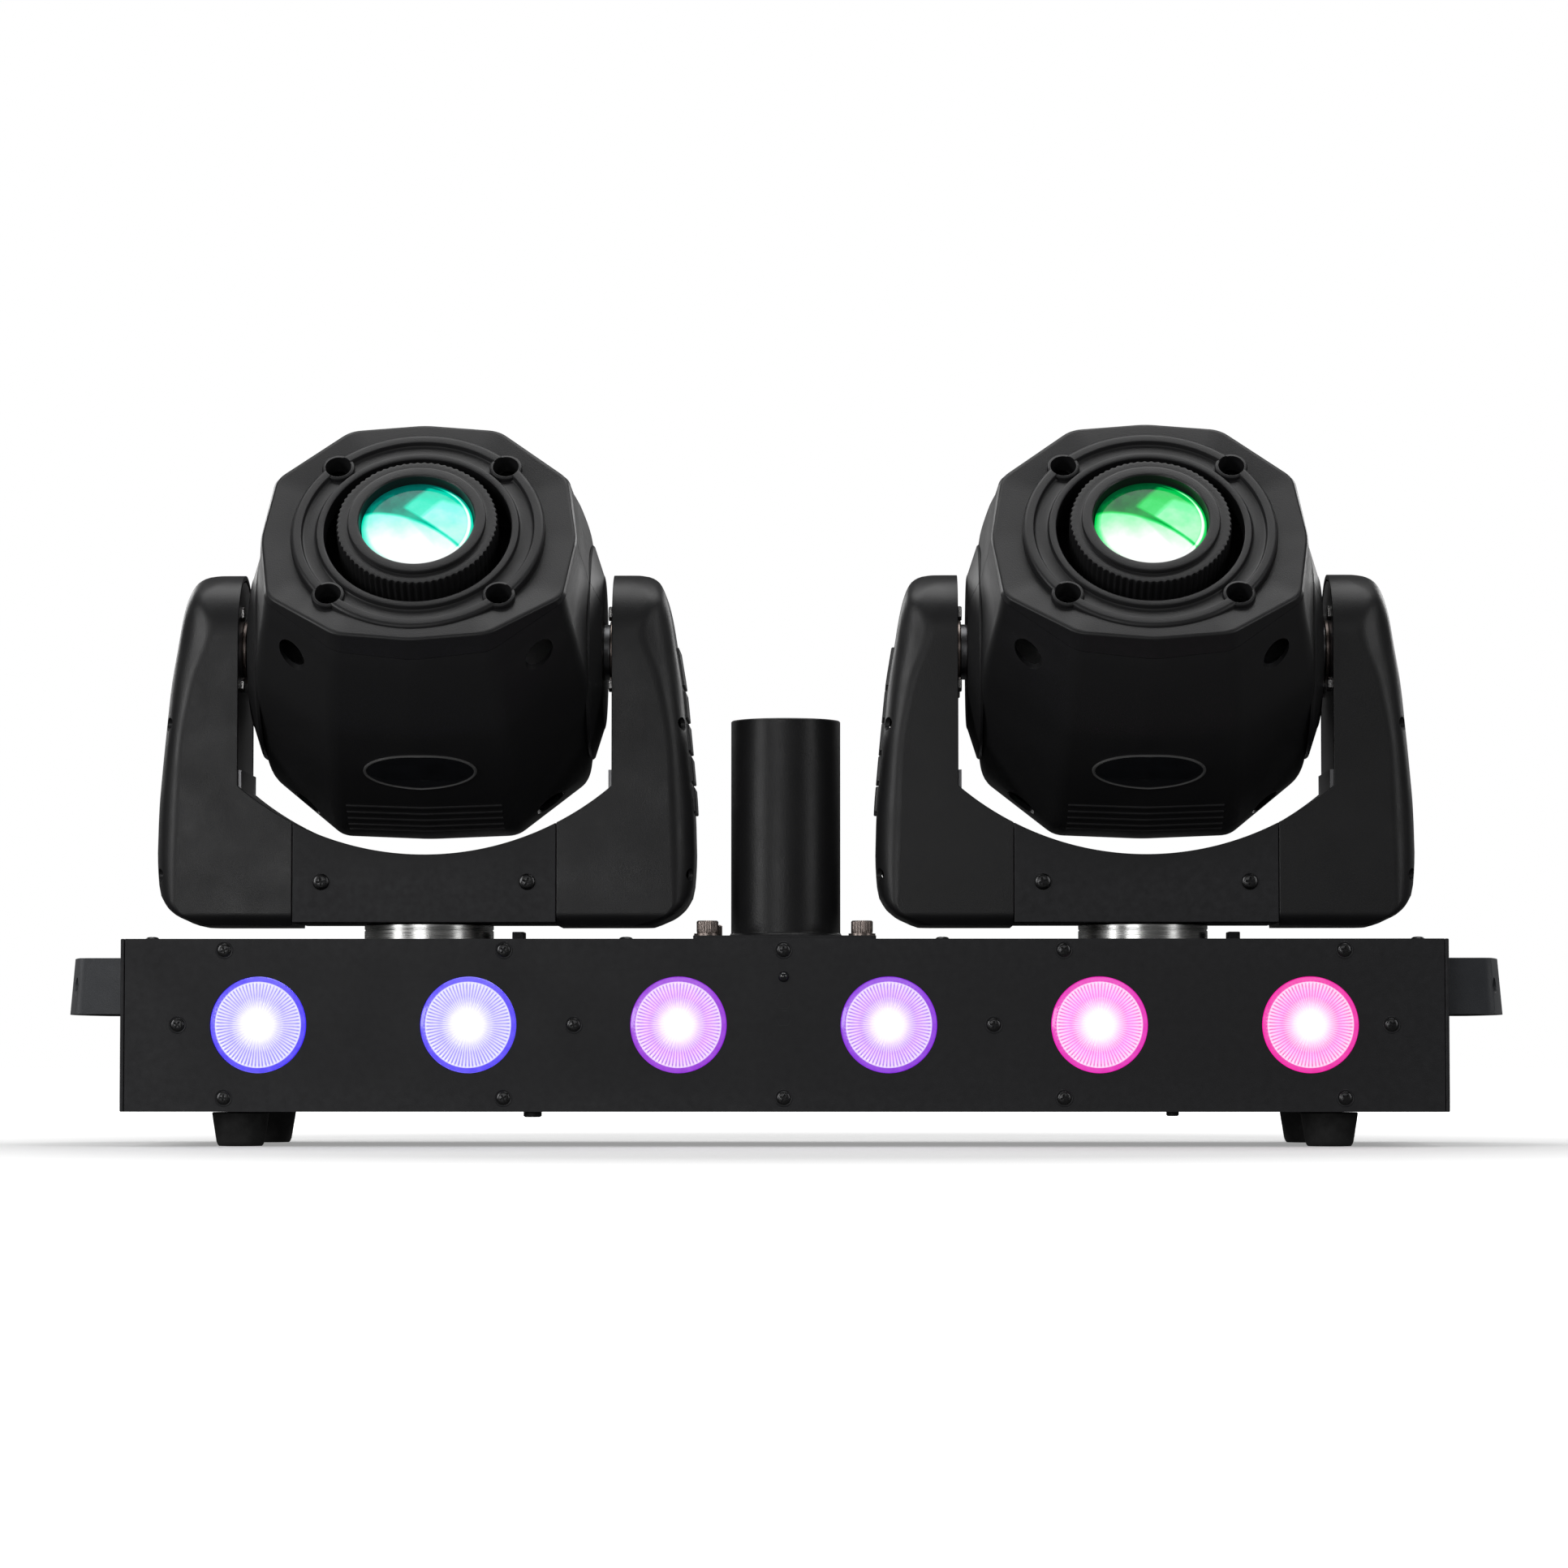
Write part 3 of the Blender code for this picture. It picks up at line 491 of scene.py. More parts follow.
    def lit(self, colour):
        self.links.new(colour, self.shader.inputs["Emission Color"])
        self.shader.inputs["Emission Strength"].default_value = 1.0


def scaled(colour, factor):
    return tuple(min(1.0, c * factor) for c in colour)


def powder(name, colour, roughness=0.52):
    """Fine-texture powder coat: small round grains, slightly uneven gloss, edges a little lighter."""
    made = Finish(name, colour, roughness, Specular_IOR_Level=0.42)
    made.worn(colour, scaled(colour, 2.6))
    made.rough(made.noise(0.03), 0.05)
    made.bumped(made.noise(0.0009, detail=4.0, rough=0.7), 0.00007, 0.8)
    made.bumped(made.cells(0.00045), 0.00004, 0.5)
    return made.material


def moulded(name, colour, roughness=0.40, grain=0.00055, depth=0.00004):
    """Moulded plastic with a spark-eroded grain and slow changes of gloss from handling."""
    made = Finish(name, colour, roughness, Specular_IOR_Level=0.5)
    made.worn(colour, scaled(colour, 1.9), 0.4)
    made.rough(made.noise(0.022, detail=5.0), 0.06)
    made.bumped(made.cells(grain), depth, 0.7)
    made.bumped(made.noise(grain * 1.6, detail=4.0), depth, 0.6)
    return made.material


def metal(name, colour, roughness, stretch, size=0.00035, depth=0.000006, spread=0.08):
    """Metal with fine tool or rolling marks, stretched along the way that it was worked."""
    made = Finish(name, colour, roughness, 1.0)
    lines = made.noise(size, stretch, detail=4.0, rough=0.65)
    made.tinted(made.mapped(lines, 0, 1, 0.25, 0.75), scaled(colour, 0.82), scaled(colour, 1.12))
    made.rough(lines, spread)
    made.bumped(lines, depth, 0.8)
    made.bumped(made.noise(0.012, detail=5.0), depth * 3, 0.3)
    return made.material


def rubbery(name, colour):
    made = Finish(name, colour, 0.72, Specular_IOR_Level=0.35)
    made.tinted(made.mapped(made.noise(0.006, detail=5.0), 0, 1), scaled(colour, 0.75), scaled(colour, 1.6))
    made.rough(made.noise(0.004), 0.08)
    made.bumped(made.noise(0.0005, detail=4.0), 0.00006, 0.7)
    return made.material


def board(name, colour):
    """Solder mask over copper tracks."""
    made = Finish(name, colour, 0.38, Specular_IOR_Level=0.5)
    tracks = made.cells(0.006)
    made.tinted(made.mapped(tracks, 0, 1, 0.42, 0.46), colour, scaled(colour, 2.2))
    made.rough(made.noise(0.003), 0.06)
    made.bumped(tracks, 0.00005, 0.5)
    return made.material


def glossy(name, colour, roughness=0.08):
    """Clear window over a dark ground, with faint wipe marks."""
    made = Finish(name, colour, roughness, Specular_IOR_Level=0.6, Coat_Weight=1.0, Coat_Roughness=0.04)
    made.tinted(made.mapped(made.noise(0.01), 0, 1), scaled(colour, 0.8), scaled(colour, 1.3))
    made.rough(made.noise(0.008, (4, 1, 1)), 0.03)
    made.bumped(made.noise(0.006), 0.00001, 0.3)
    return made.material


RECORD_COLOURS = {row["slot"]: tuple(row["base_color"][:3]) for row in frame["record"]["materials"]}

FINISHES = {
    "powder_black": powder("powder_black", RECORD_COLOURS["powder_black"]),
    "plastic_black": moulded("plastic_black", scaled(RECORD_COLOURS["plastic_black"], 1.15)),
    "plastic_grey": moulded("plastic_grey", scaled(RECORD_COLOURS["plastic_grey"], 0.8), 0.42),
    "rubber": rubbery("rubber", scaled(RECORD_COLOURS["rubber"], 1.8)),
    "aluminium": metal("turned_aluminium", RECORD_COLOURS["aluminium"], 0.26, (60, 60, 1)),
    "steel": metal("zinc_steel", (0.30, 0.30, 0.31), 0.40, (1, 1, 40)),
    "circuit": board("circuit_board", RECORD_COLOURS["circuit"]),
}
SCREW_BLACK = metal("black_oxide_screw", (0.09, 0.09, 0.092), 0.30, (1, 1, 1), 0.0006)
SCREW_BRIGHT = metal("bright_screw", (0.62, 0.61, 0.60), 0.24, (1, 1, 1), 0.0006)
BOLT_BRONZE = metal("tarnished_bolt", (0.34, 0.285, 0.26), 0.33, (1, 1, 1), 0.0008)
TUBE_BLACK = powder("satin_tube", (0.016, 0.016, 0.017), 0.34)
DARK_WINDOW = glossy("dark_window", (0.010, 0.011, 0.013))
BADGE_RIM = moulded("badge_rim", (0.11, 0.11, 0.11), 0.32)
KNURLED = moulded("knurled_ring", (0.024, 0.024, 0.025), 0.36)


def dress_frame():
    """Give every CAD node the finish of its slot; nodes that are replaced are hidden later."""
    for row in frame["record"]["subparts"]:
        finish = FINISHES.get(row["material_slot"])
        node = frame["nodes"][row["node"]]
        if finish and node.material_slots:
            node.material_slots[0].link = "OBJECT"
            node.material_slots[0].material = finish


# ---- fasteners ----

def cross_screw(radius, tall, recess=0.55):
    """Raised countersunk head with a cross recess, its top facing +Z and its foot at 0."""
    shares = ((0, 1), (0.35, 0.97), (0.65, 0.86), (0.86, 0.62), (0.96, 0.34), (1, 0.1))
    dome = [(radius * out, tall * up) for out, up in shares] + [(radius, -0.25), (0, -0.25)]
    reach, arm = radius * 0.56, radius * 0.14
    deep = tall - recess * radius
    blades = [box((-u, -v, deep), (u, v, tall + 1)) for u, v in ((reach, arm), (arm, reach))]
    return cut(turned(dome, segments=32), *blades)



def screws(head, axis, centres, turn=0.35):
    """Copies of one screw, each turned a little further than the one before."""
    copies = []
    for i, centre in enumerate(centres):
        one = head.copy()
        bmesh.ops.rotate(one, matrix=Matrix.Rotation(turn + 1.1 * i, 3, "Z"), verts=one.verts)
        copies.append(laid(one, axis, centre))
    head.free()
    return together(copies)


def screwed(name, radius, tall, axis, centres, place, body, finish=None):
    """Piece of cross-head screws."""
    heads = screws(cross_screw(radius, tall), axis, centres)
    piece(name, heads, place, body, "steel", finish=finish or SCREW_BLACK)


def cap_screw():
    """Socket cap screw: knurled head 10 mm across and 6 mm tall, on a washer."""
    teeth = 30

    def knurl(angle, radius, height):
        deep = 0.22 if radius > 4.6 and 0.9 < height < 5.6 else 0
        return radius - deep * (1 + math.cos(teeth * angle)) / 2

    profile = [(0, 0.2), (4.8, 0.2), (5.0, 1.0), (5.0, 2.5), (5.0, 4.5), (5.0, 5.5), (4.5, 6.0), (0, 6.0)]
    head = turned(profile, segments=teeth * 6, ripple=knurl)
    socket = turned([(0, 7), (2.9, 7), (2.9, 3.0), (0, 2.2)], segments=6)
    washer = turned([(3.2, 0), (6.2, 0), (6.2, 1.0), (3.2, 1.0)], segments=48, ring=True)
    bmesh.ops.translate(washer, vec=(0, 0, -0.9), verts=washer.verts)
    return together([cut(head, socket), washer])


# ---- the bar ----

REAR_PANEL_SIZE = (-165, -50, 34, 76)  # x low, x high, z low, z high
DISPLAY_SIZE = (-156, -112, 43, 67)
INLET_SIZE = (175, 225, 43, 67)
INLET_BODY_SIZE = (186.2, 213.8, 45.4, 64.6)
BUTTON_HEIGHT = 55


def slab(size, near, far, inset=0.0):
    """Box over an x and z range of the bar, from one depth to another."""
    left, right, low, high = size
    return box((left + inset, near, low + inset), (right - inset, far, high - inset))


def tray():
    """Folded tray: rounded bends along its floor and its rear corners."""
    half, deep, inside = BAR_HALF, BAR_DEEP, BAR_HALF - SHEET
    shape = box((-half, -deep, BAR_BOTTOM), (half, deep, BAR_TOP))
    shape = cut(shape,
                box((-inside, -deep - 1, BAR_BOTTOM + SHEET), (inside, deep - SHEET, BAR_TOP + 1)),
                box((-inside, -deep - 1, BAR_BOTTOM - 1), (inside, -deep + SHEET + GAP, BAR_BOTTOM + 3)),
                slab((-155, -57, 42, 68), deep - 5, deep + 1),
                slab((185.7, 214.3, 45, 65), deep - 5, deep + 1))
    detail("chassis_tray", softened(shape, 0.5), BAR_PLACE, "base")
    bosses, root = [], BAR_BOTTOM + 0.4
    for x, radius, drop in ((-114, 4.15, 2.5), (176, 2.85, 2.0)):
        tip = BAR_BOTTOM - drop
        profile = [(0, tip), (radius * 0.8, tip), (radius, tip + 0.5), (radius, root), (0, root)]
        bosses.append(turned(profile, centre=(x, -62, 0), segments=48))
    on_bar("underside_bosses", together(bosses))


def lid():
    half, deep = BAR_HALF - SHEET - GAP, BAR_DEEP - SHEET - GAP
    holes = [circle(COLUMN_RADIUS + 0.4, (x, 0)) for x in (-PAN_X, PAN_X)]
    shape = plate([rectangle(-half, half, -deep, deep)] + holes, BAR_TOP - SHEET, BAR_TOP, "XY")
    detail("top_cover", softened(shape, 0.35, 2), BAR_PLACE, "base")
    stops = []
    for pan in (-PAN_X, PAN_X):
        x = pan + 42
        stops.append(softened(box((x - 2.8, -7, BAR_TOP - 0.5), (x + 2.8, 7, BAR_TOP + 4.9)), 0.5))
    on_bar("pan_stops", together(stops))
    places = [(x, y, BAR_TOP) for x in (-288, -72, 72, 288) for y in (-58, 58)]
    screwed("top_cover_screws", 3.2, 1.3, "z", places, BAR_PLACE, "base")


def face_panel():
    """Front plate with six lens holes, its screws, the infra-red dome and two pressed nuts."""
    half, front = BAR_HALF - SHEET - GAP, -BAR_DEEP
    holes = [circle(LED_RADIUS + 0.4, ((low.x + high.x) / 2, LED_HEIGHT)) for low, high in LED_BOXES]
    shape = plate([rectangle(-half, half, BAR_BOTTOM, BAR_TOP)] + holes, front, front + SHEET, "XZ")
    detail("front_panel", softened(shape, 0.3, 2), BAR_PLACE, "base")
    upper, lower = BAR_TOP - 5.2, BAR_BOTTOM + 6.2
    places = [(x, front, z) for x in (-253, -126.5, 0, 126.5, 253) for z in (upper, lower)]
    places += [(x, front, LED_HEIGHT) for x in (-94.8, 94.8, -274, 274)]
    screwed("front_panel_screws", 3.1, 1.0, "front", places, BAR_PLACE, "base")
    rim = [(3.3, 0.1), (3.75, 0.3), (4.0, 0.05), (4.0, -0.2), (3.3, -0.2)]
    rims = [turned(rim, "front", place, 40, ring=True) for place in places]
    on_bar("front_panel_screw_rims", together(rims))
    dome = [(0, 2.0), (1.0, 1.8), (1.8, 1.2), (2.3, 0.4), (2.5, 0), (2.5, -0.5), (0, -0.5)]
    on_bar("infrared_dome", turned(dome, "front", (0, front, 76.6), 40), "plastic_black", finish=DARK_WINDOW)
    nuts = [plate([circle(radius, (0, z), 6) for radius in (3.95, 3.55)], front - 0.16, front + 0.2, "XZ")
            for z in (65.6, 57.9)]
    on_bar("pressed_nut_marks", together(nuts))


LED_COLOURS = {  # rim, ribs
    1: ((0.040, 0.012, 0.88), (0.62, 0.58, 0.97)), 2: ((0.055, 0.020, 0.88), (0.62, 0.58, 0.97)),
    3: ((0.26, 0.010, 0.62), (0.76, 0.46, 0.97)), 4: ((0.22, 0.012, 0.66), (0.70, 0.46, 0.97)),
    5: ((0.74, 0.004, 0.42), (0.96, 0.42, 0.86)), 6: ((0.82, 0.004, 0.34), (0.97, 0.40, 0.80)),
}
LED_RIBS = 72


def led_shape():
    """Domed optic: plain rim, two rows of radial ribs and a smooth centre; its front faces +Z."""
    around = angles_round(LED_RIBS * 8)

    def height(radius, angle):
        share = radius / LED_RADIUS
        dome = 1.7 - 1.5 * share * share
        outer = max(0.0, math.sin(math.pi * min(1, max(0, (share - 0.52) / 0.40))))
        inner = max(0.0, math.sin(math.pi * min(1, max(0, (share - 0.22) / 0.32))))
        ribs = 0.42 * outer * math.cos(LED_RIBS * angle)
        return dome + ribs + 0.22 * inner * math.cos(LED_RIBS / 2 * angle)

    rows = [[(0, 0, 1.7)]]
    for step in range(1, 41):
        radius = LED_RADIUS * step / 40
        rows.append([(radius * math.cos(a), radius * math.sin(a), height(radius, a)) for a in around])
    for radius, depth in ((LED_RADIUS, -2.1), (24.0, -2.1), (24.0, -4.0)):
        rows.append([(radius * math.cos(a), radius * math.sin(a), depth) for a in around])
    return facing_out(skinned(rows + [[(0, 0, -16)]]))


def led_finish(number):
    """Lit optic: white centre, pale ribs with dark flanks, and a saturated rim."""
    rim, ribs = LED_COLOURS[number]
    white, pale = (1, 1, 1), tuple(0.5 + 0.5 * c for c in ribs)
    made = Finish(f"led_optic_{number}", scaled(ribs, 0.5), 0.16, Coat_Weight=0.6, Coat_Roughness=0.05)
    made.tinted(made.mapped(made.noise(0.004), 0, 1), scaled(ribs, 0.35), scaled(ribs, 0.6))
    made.rough(made.noise(0.002), 0.05)
    x, y, _ = made.split()
    share = made.distance(x, y, LED_RADIUS * MM)
    glow = made.ramp(share, [(0.0, white), (0.26, white), (0.42, pale), (0.60, ribs), (0.90, pale),
                             (0.915, rim), (1.0, scaled(rim, 0.9))])
    turns = made.times(made.maths("ARCTAN2", y, x), LED_RIBS)
    wave = made.maths("COSINE", made.maths("MULTIPLY_ADD", made.noise(0.003), 1.5, turns))
    levels = ((0.28, 0), (0.44, 0.35), (0.64, 0.8), (0.86, 1.0), (0.91, 0))
    band = made.ramp(share, [(position, (level,) * 3) for position, level in levels])
    depth = made.times(made.mapped(wave, 0.85, 0.0, -0.8, 0.3), band)
    flank = tuple(0.80 * a + 0.10 * b for a, b in zip(rim, ribs))
    made.lit(made.blend(depth, glow, flank))
    return made.material


def led_lenses():
    for number, (low, high) in enumerate(LED_BOXES, 1):
        node = f"led_lens_{number}"
        place = Matrix.Translation(((low.x + high.x) / 2, BAR_Y - BAR_DEEP, LED_HEIGHT))
        place = place @ Matrix.Rotation(math.pi / 2, 4, "X")
        piece(f"led_optic_{number}", led_shape(), place, "base", slot_of(node), [node],
              finish=led_finish(number), sharp=60, local=True)


def feet():
    profile = [(0, 15.4), (12.6, 15.4), (13, 15.0), (12.5, 11.5), (10.9, 2.0), (10.3, 0.7), (9.7, 0.05),
               (8.2, 0), (5.2, 0), (4.8, 0.4), (4.8, 5.0), (0, 5.0)]
    for end in ("front", "rear"):
        for side in ("left", "right"):
            node = f"foot_{end}_{side}"
            low, high = node_box(node)
            middle = (low + high) / 2
            x, y = middle.x, middle.y - BAR_Y
            detail(node, turned(profile, centre=(x, y, 0), segments=72), BAR_PLACE, "base")
            screwed(f"{node}_screw", 3.6, 1.6, "down", [(x, y, 5.0)], BAR_PLACE, "base", SCREW_BRIGHT)


def bow(start, middle, half_length, steps):
    rows = spread(-1, 1, steps)
    return [(start + (middle - start) * (1 - row * row), half_length * row) for row in rows]


def handles():
    """Bowed grips with rounded edges, an oval recess over each screw, leaning in towards the top."""
    low, high, lean = 60.0, 85.5, 2.4
    wall, middle = BAR_HALF + GAP, (low + high) / 2
    outer = [(wall + x, y) for x, y in bow(23, 32, 54, 40)]
    inner = [(wall + x, y) for x, y in bow(16, 26, 43, 32)]
    outline = [(wall, -56), (wall + 19, -56)] + outer + [(wall + 19, 56), (wall, 56), (wall, 46)]
    outline += inner[::-1] + [(wall, -46)]
    for side, name in ((-1, "handle_left"), (1, "handle_right")):
        recesses = [rod(4.0, 15.5, 40, "x", (wall, y, middle), 40) for y in (-50.2, 50.2)]
        shape = softened(cut(plate([outline], low, high, "XY"), *recesses), 1.6, 4, 40)
        for vert in shape.verts:
            out = (vert.co.x - wall) / 32
            vert.co.x -= lean * out * (vert.co.z - low) / (high - low)
        place = BAR_PLACE @ Matrix.Diagonal((side, 1, 1, 1))
        detail(name, shape, place, "base")
        heads = [(wall + 15, y, middle) for y in (-50.2, 50.2)]
        screwed(f"{name}_screws", 3.1, 1.6, "x", heads, place, "base")


def stand_tube():
    """Square flange with four cap screws, and the open tube standing on it with a weld bead."""
    half, foot, top = 42.0, BAR_TOP + GAP, TUBE_TOP
    outline = rounded(rectangle(-half, half, -half, half), 2.5)
    flange = softened(plate([outline, circle(TUBE_BORE)], foot, foot + 2, "XY"), 0.3, 2)
    bore, outside = TUBE_BORE, TUBE_RADIUS
    wall = [(bore, top - 0.4), (bore + 0.4, top), (outside - 0.5, top), (outside, top - 0.5),
            (outside, foot + 4.2), (outside + 0.5, foot + 3.2), (outside + 1.9, foot + 2.4),
            (outside + 2.1, foot + 1.5), (bore, foot + 1.5)]
    on_bar("stand_flange", flange)
    tube = turned(wall, segments=160, ring=True)
    on_bar("stand_tube", tube, stands_for=["stand_socket"], finish=TUBE_BLACK)
    places = [(x, y, foot + 2.9) for x in (-35.5, 35.5) for y in (-35.5, 35.5)]
    on_bar("flange_cap_screws", screws(cap_screw(), "z", places), "steel", finish=BOLT_BRONZE)


def control_panel(back):
    """Panel with its display window, four button caps and corner screws."""
    boxes = [node_box(f"menu_button_{number}") for number in range(1, 5)]
    xs = [(low.x + high.x) / 2 for low, high in boxes]
    shape = softened(slab(REAR_PANEL_SIZE, back, back + 2.3), 0.7)
    shape = cut(shape, softened(slab(DISPLAY_SIZE, back + 1.3, back + 5), 0.5),
                *[rod(4.3, back - 1, back + 4, "y", (x, 0, BUTTON_HEIGHT)) for x in xs])
    detail("control_panel", shape, BAR_PLACE, "base")
    window = softened(slab(DISPLAY_SIZE, back + 1.35, back + 1.9, 0.4), 0.15, 2)
    on_bar("display_window", window, "plastic_black", finish=DARK_WINDOW)
    left, right, low, high = REAR_PANEL_SIZE
    corners = [(x, back + 2.3, z) for x in (left + 4.2, right - 4.2) for z in (low + 4.2, high - 4.2)]
    screwed("control_panel_screws", 2.3, 0.9, "y", corners, BAR_PLACE, "base")
    cap = [(0, 4.0), (1.6, 4.08), (2.9, 4.4), (3.5, 4.25), (3.8, 3.8), (3.8, -0.4), (5.2, -0.4),
           (5.2, -2), (0, -2)]
    for number, x in enumerate(xs, 1):
        node = f"menu_button_{number}"
        button = turned(cap, "y", (x, back, BUTTON_HEIGHT), 48)
        piece(f"{node}_cap", button, BAR_PLACE, node, "plastic_grey", [node])


def power_inlet(back):
    """Flanged inlet with its three blades and two screws."""
    flange = softened(slab(INLET_SIZE, back, back + 2.7), 0.7)
    body = joined(flange, slab(INLET_BODY_SIZE, back - 22, back + 0.5))
    detail("power_inlet", cut(body, slab(INLET_BODY_SIZE, back - 18, back + 3, 1.8)), BAR_PLACE, "base")
    blades = [softened(box((x - 1, back - 19, z), (x + 1, back - 3, z + 4)), 0.25, 2)
              for x, z in ((193, 51), (200, 55), (207, 51))]
    on_bar("inlet_blades", together(blades), "steel", finish=SCREW_BRIGHT)
    sides = [(x, back + 2.7, 55) for x in (180, 220)]
    screwed("inlet_screws", 2.7, 1.1, "y", sides, BAR_PLACE, "base")


def build_bar():
    tray()
    lid()
    face_panel()
    led_lenses()
    feet()
    handles()
    stand_tube()
    control_panel(BAR_DEEP + GAP)
    power_inlet(BAR_DEEP + GAP)


# ---- the yoke ----

def smooth_between(table, height):
    """Value at a height on a smooth curve through a table of (height, value)."""
    if height <= table[0][0]:
        return table[0][1]
    if height >= table[-1][0]:
        return table[-1][1]
    at = next(i for i in range(len(table) - 1) if height <= table[i + 1][0])
    (low, first), (high, last) = table[at], table[at + 1]

    def slope(i):
        if i in (0, len(table) - 1):
            near, far = table[max(i - 1, 0)], table[min(i + 1, len(table) - 1)]
            return (far[1] - near[1]) / (far[0] - near[0])
        before = (table[i][1] - table[i - 1][1]) / (table[i][0] - table[i - 1][0])
        after = (table[i + 1][1] - table[i][1]) / (table[i + 1][0] - table[i][0])
        return 0.0 if before * after <= 0 else 2 * before * after / (before + after)

    span = high - low
    t = (height - low) / span
    return ((2 * t ** 3 - 3 * t ** 2 + 1) * first + (t ** 3 - 2 * t ** 2 + t) * span * slope(at)
            + (3 * t ** 2 - 2 * t ** 3) * last + (t ** 3 - t ** 2) * span * slope(at + 1))


def sweep_height(out, radius=SWEEP_RADIUS):
    return SWEEP_CENTRE - math.sqrt(radius * radius - out * out)


def sweep(start, end, radius, steps):
    return [(x, sweep_height(x, radius)) for x in spread(start, end, steps)]


ARM_SIDE = [(101.2, 105), (102.7, 109), (110, 119.8), (118, 123.6), (135, 124.6), (155, 124),
            (174, 122.5), (193, 120.7), (212, 118.8), (231, 115.8), (246, 113.3), (255, 111),
            (261, 108.2), (264.3, 104), (265.7, 98)]
ARM_RIDGE = [(101.2, 100), (106, 113), (112, 116.5), (154, 115.4), (183, 114), (215, 108), (238, 100),
             (252, 104.3), (265.7, 94)]
ARM_FRONT = [(101.2, 27), (106, 31), (240, 31)]


def arm_inner(height):
    if height <= sweep_height(YOKE_BASE + 0.1):
        return YOKE_BASE + 0.1
    if height >= sweep_height(YOKE_INNER):
        return YOKE_INNER
    drop = SWEEP_CENTRE - height
    return math.sqrt(SWEEP_RADIUS ** 2 - drop ** 2)


def arm_section(height, wall, hollow):
    """One level of an arm cover, its ridge and outer corners rounded."""
    deep = smooth_between(ARM_FRONT, height) - wall
    rise = height - ARM_TOP_CENTRE
    if rise > 0:
        deep = math.sqrt(max((ARM_TOP_RADIUS - wall) ** 2 - rise * rise, 0.01))
    side = smooth_between(ARM_SIDE, height) - wall
    ridge = min(smooth_between(ARM_RIDGE, height) - wall * 0.6, side - 1.5)
    shoulder = deep * 0.70
    inner = 40.0 if hollow else arm_inner(height)
    half = [(inner, deep), (ridge, deep), ((ridge + side) / 2 + 1.2, deep - (deep - shoulder) * 0.38),
            (side, shoulder)]
    outline = [(x, -y) for x, y in half] + half[::-1]
    radii = [0.5, 3.0, 3.5, 5.0, 5.0, 3.5, 3.0, 0.5]
    return [(x, y, height) for x, y in rounded(outline, radii)]


def arm_levels():
    """Heights of the sections: close where the arm rounds over, and on the hollow curve's ends."""
    turn = [ARM_TOP_CENTRE + ARM_TOP_RADIUS * math.sin(math.pi / 2 * i / 18) for i in range(1, 18)]
    curve = [sweep_height(x) for x in spread(YOKE_BASE + 0.1, YOKE_INNER, 14)]
    levels = spread(ARM_FOOT, 112, 9) + spread(115, 135, 4) + curve + spread(173, ARM_TOP_CENTRE, 12) + turn
    return sorted(set(levels)) + [ARM_TOP - 0.02]


LOUVRE_TOP, LOUVRE_GAP, LOUVRE_HEIGHTS = 230.5, 2.2, (18, 13, 13, 12, 12)


def louvres():
    """Raised bars with rounded edges on the arm cover's outer side."""
    made, top = [], LOUVRE_TOP
    for tall in LOUVRE_HEIGHTS:
        low = top - tall
        rings = []
        for height in spread(low, top, 6):
            out = smooth_between(ARM_SIDE, height)
            rings.append([(out - 0.9, -19, height), (out + 1.3, -18, height), (out + 1.3, 18, height),
                          (out - 0.9, 19, height)])
        made.append(softened(loft(rings), 0.6, 3, 50))
        top = low - LOUVRE_GAP
    return together(made)


def arm_cover(name, place, body, louvred):
    cover = loft([arm_section(level, 0.0, False) for level in arm_levels()])
    inner_levels = [ARM_FOOT + SHEET, 124, 183, 215, 236, 250, 258, 262, ARM_TOP - SHEET]
    hollow = loft([arm_section(level, SHEET, True) for level in inner_levels])
    places = []
    for height in NOTCH_HEIGHTS:
        places += [(smooth_between(ARM_SIDE, height) - 7, y, height) for y in (-NOTCH_DEPTH, NOTCH_DEPTH)]
    notches = [rod(3.1, x, x + 13, "x", (0, y, z), 40) for x, y, z in places]
    detail(name, cut(cover, hollow, together(notches)), place, body, sharp=34)
    if louvred:
        piece(f"{name}_louvres", louvres(), place, body, "plastic_black")
    screwed(f"{name}_screws", 2.8, 1.4, "x", places, place, body, SCREW_BRIGHT)


def yoke_base(name, side, body):
    """Folded cover with rounded bends, and the screws that hold it at the front and the rear."""
    edge, deep = YOKE_BASE - 0.2, YOKE_HALF_DEPTH
    outline = [(-edge, YOKE_FLOOR), (edge, YOKE_FLOOR)] + sweep(edge, -edge, SWEEP_RADIUS, 64)
    cover = plate([outline], -deep, deep, "XZ")
    cover = cut(cover, box((-70, -deep + SHEET, YOKE_FLOOR + SHEET), (70, deep - SHEET, 160)),
                rod(HUB_RADIUS + 0.4, 90, 115, segments=64))
    place = yoke_place(side)
    detail(name, softened(cover, 0.45, 3, 45), place, body)
    heads = [screws(cross_screw(3.8, 1.4), axis, [(x, y, 121.1) for x in (-47.6, 47.6)])
             for axis, y in (("front", -deep), ("y", deep))]
    piece(f"{name}_screws", together(heads), place, body, "steel", finish=SCREW_BLACK)


def pan_column(name, side):
    """Machined column with a chamfered rim and one shallow groove."""
    low, high, radius = BAR_TOP - SHEET - GAP, YOKE_FLOOR - GAP, COLUMN_RADIUS
    profile = [(8, 112.5), (HUB_RADIUS - 0.4, 112.5), (HUB_RADIUS, 112.1), (HUB_RADIUS, high),
               (radius - 0.6, high), (radius, high - 0.6), (radius, high - 2.2), (radius - 0.35, high - 2.4),
               (radius - 0.35, high - 2.9), (radius, high - 3.1), (radius, low), (36, low), (36, 87.5), (8, 87.5)]
    detail(name, turned(profile, segments=128, ring=True), yoke_place(side), "base")


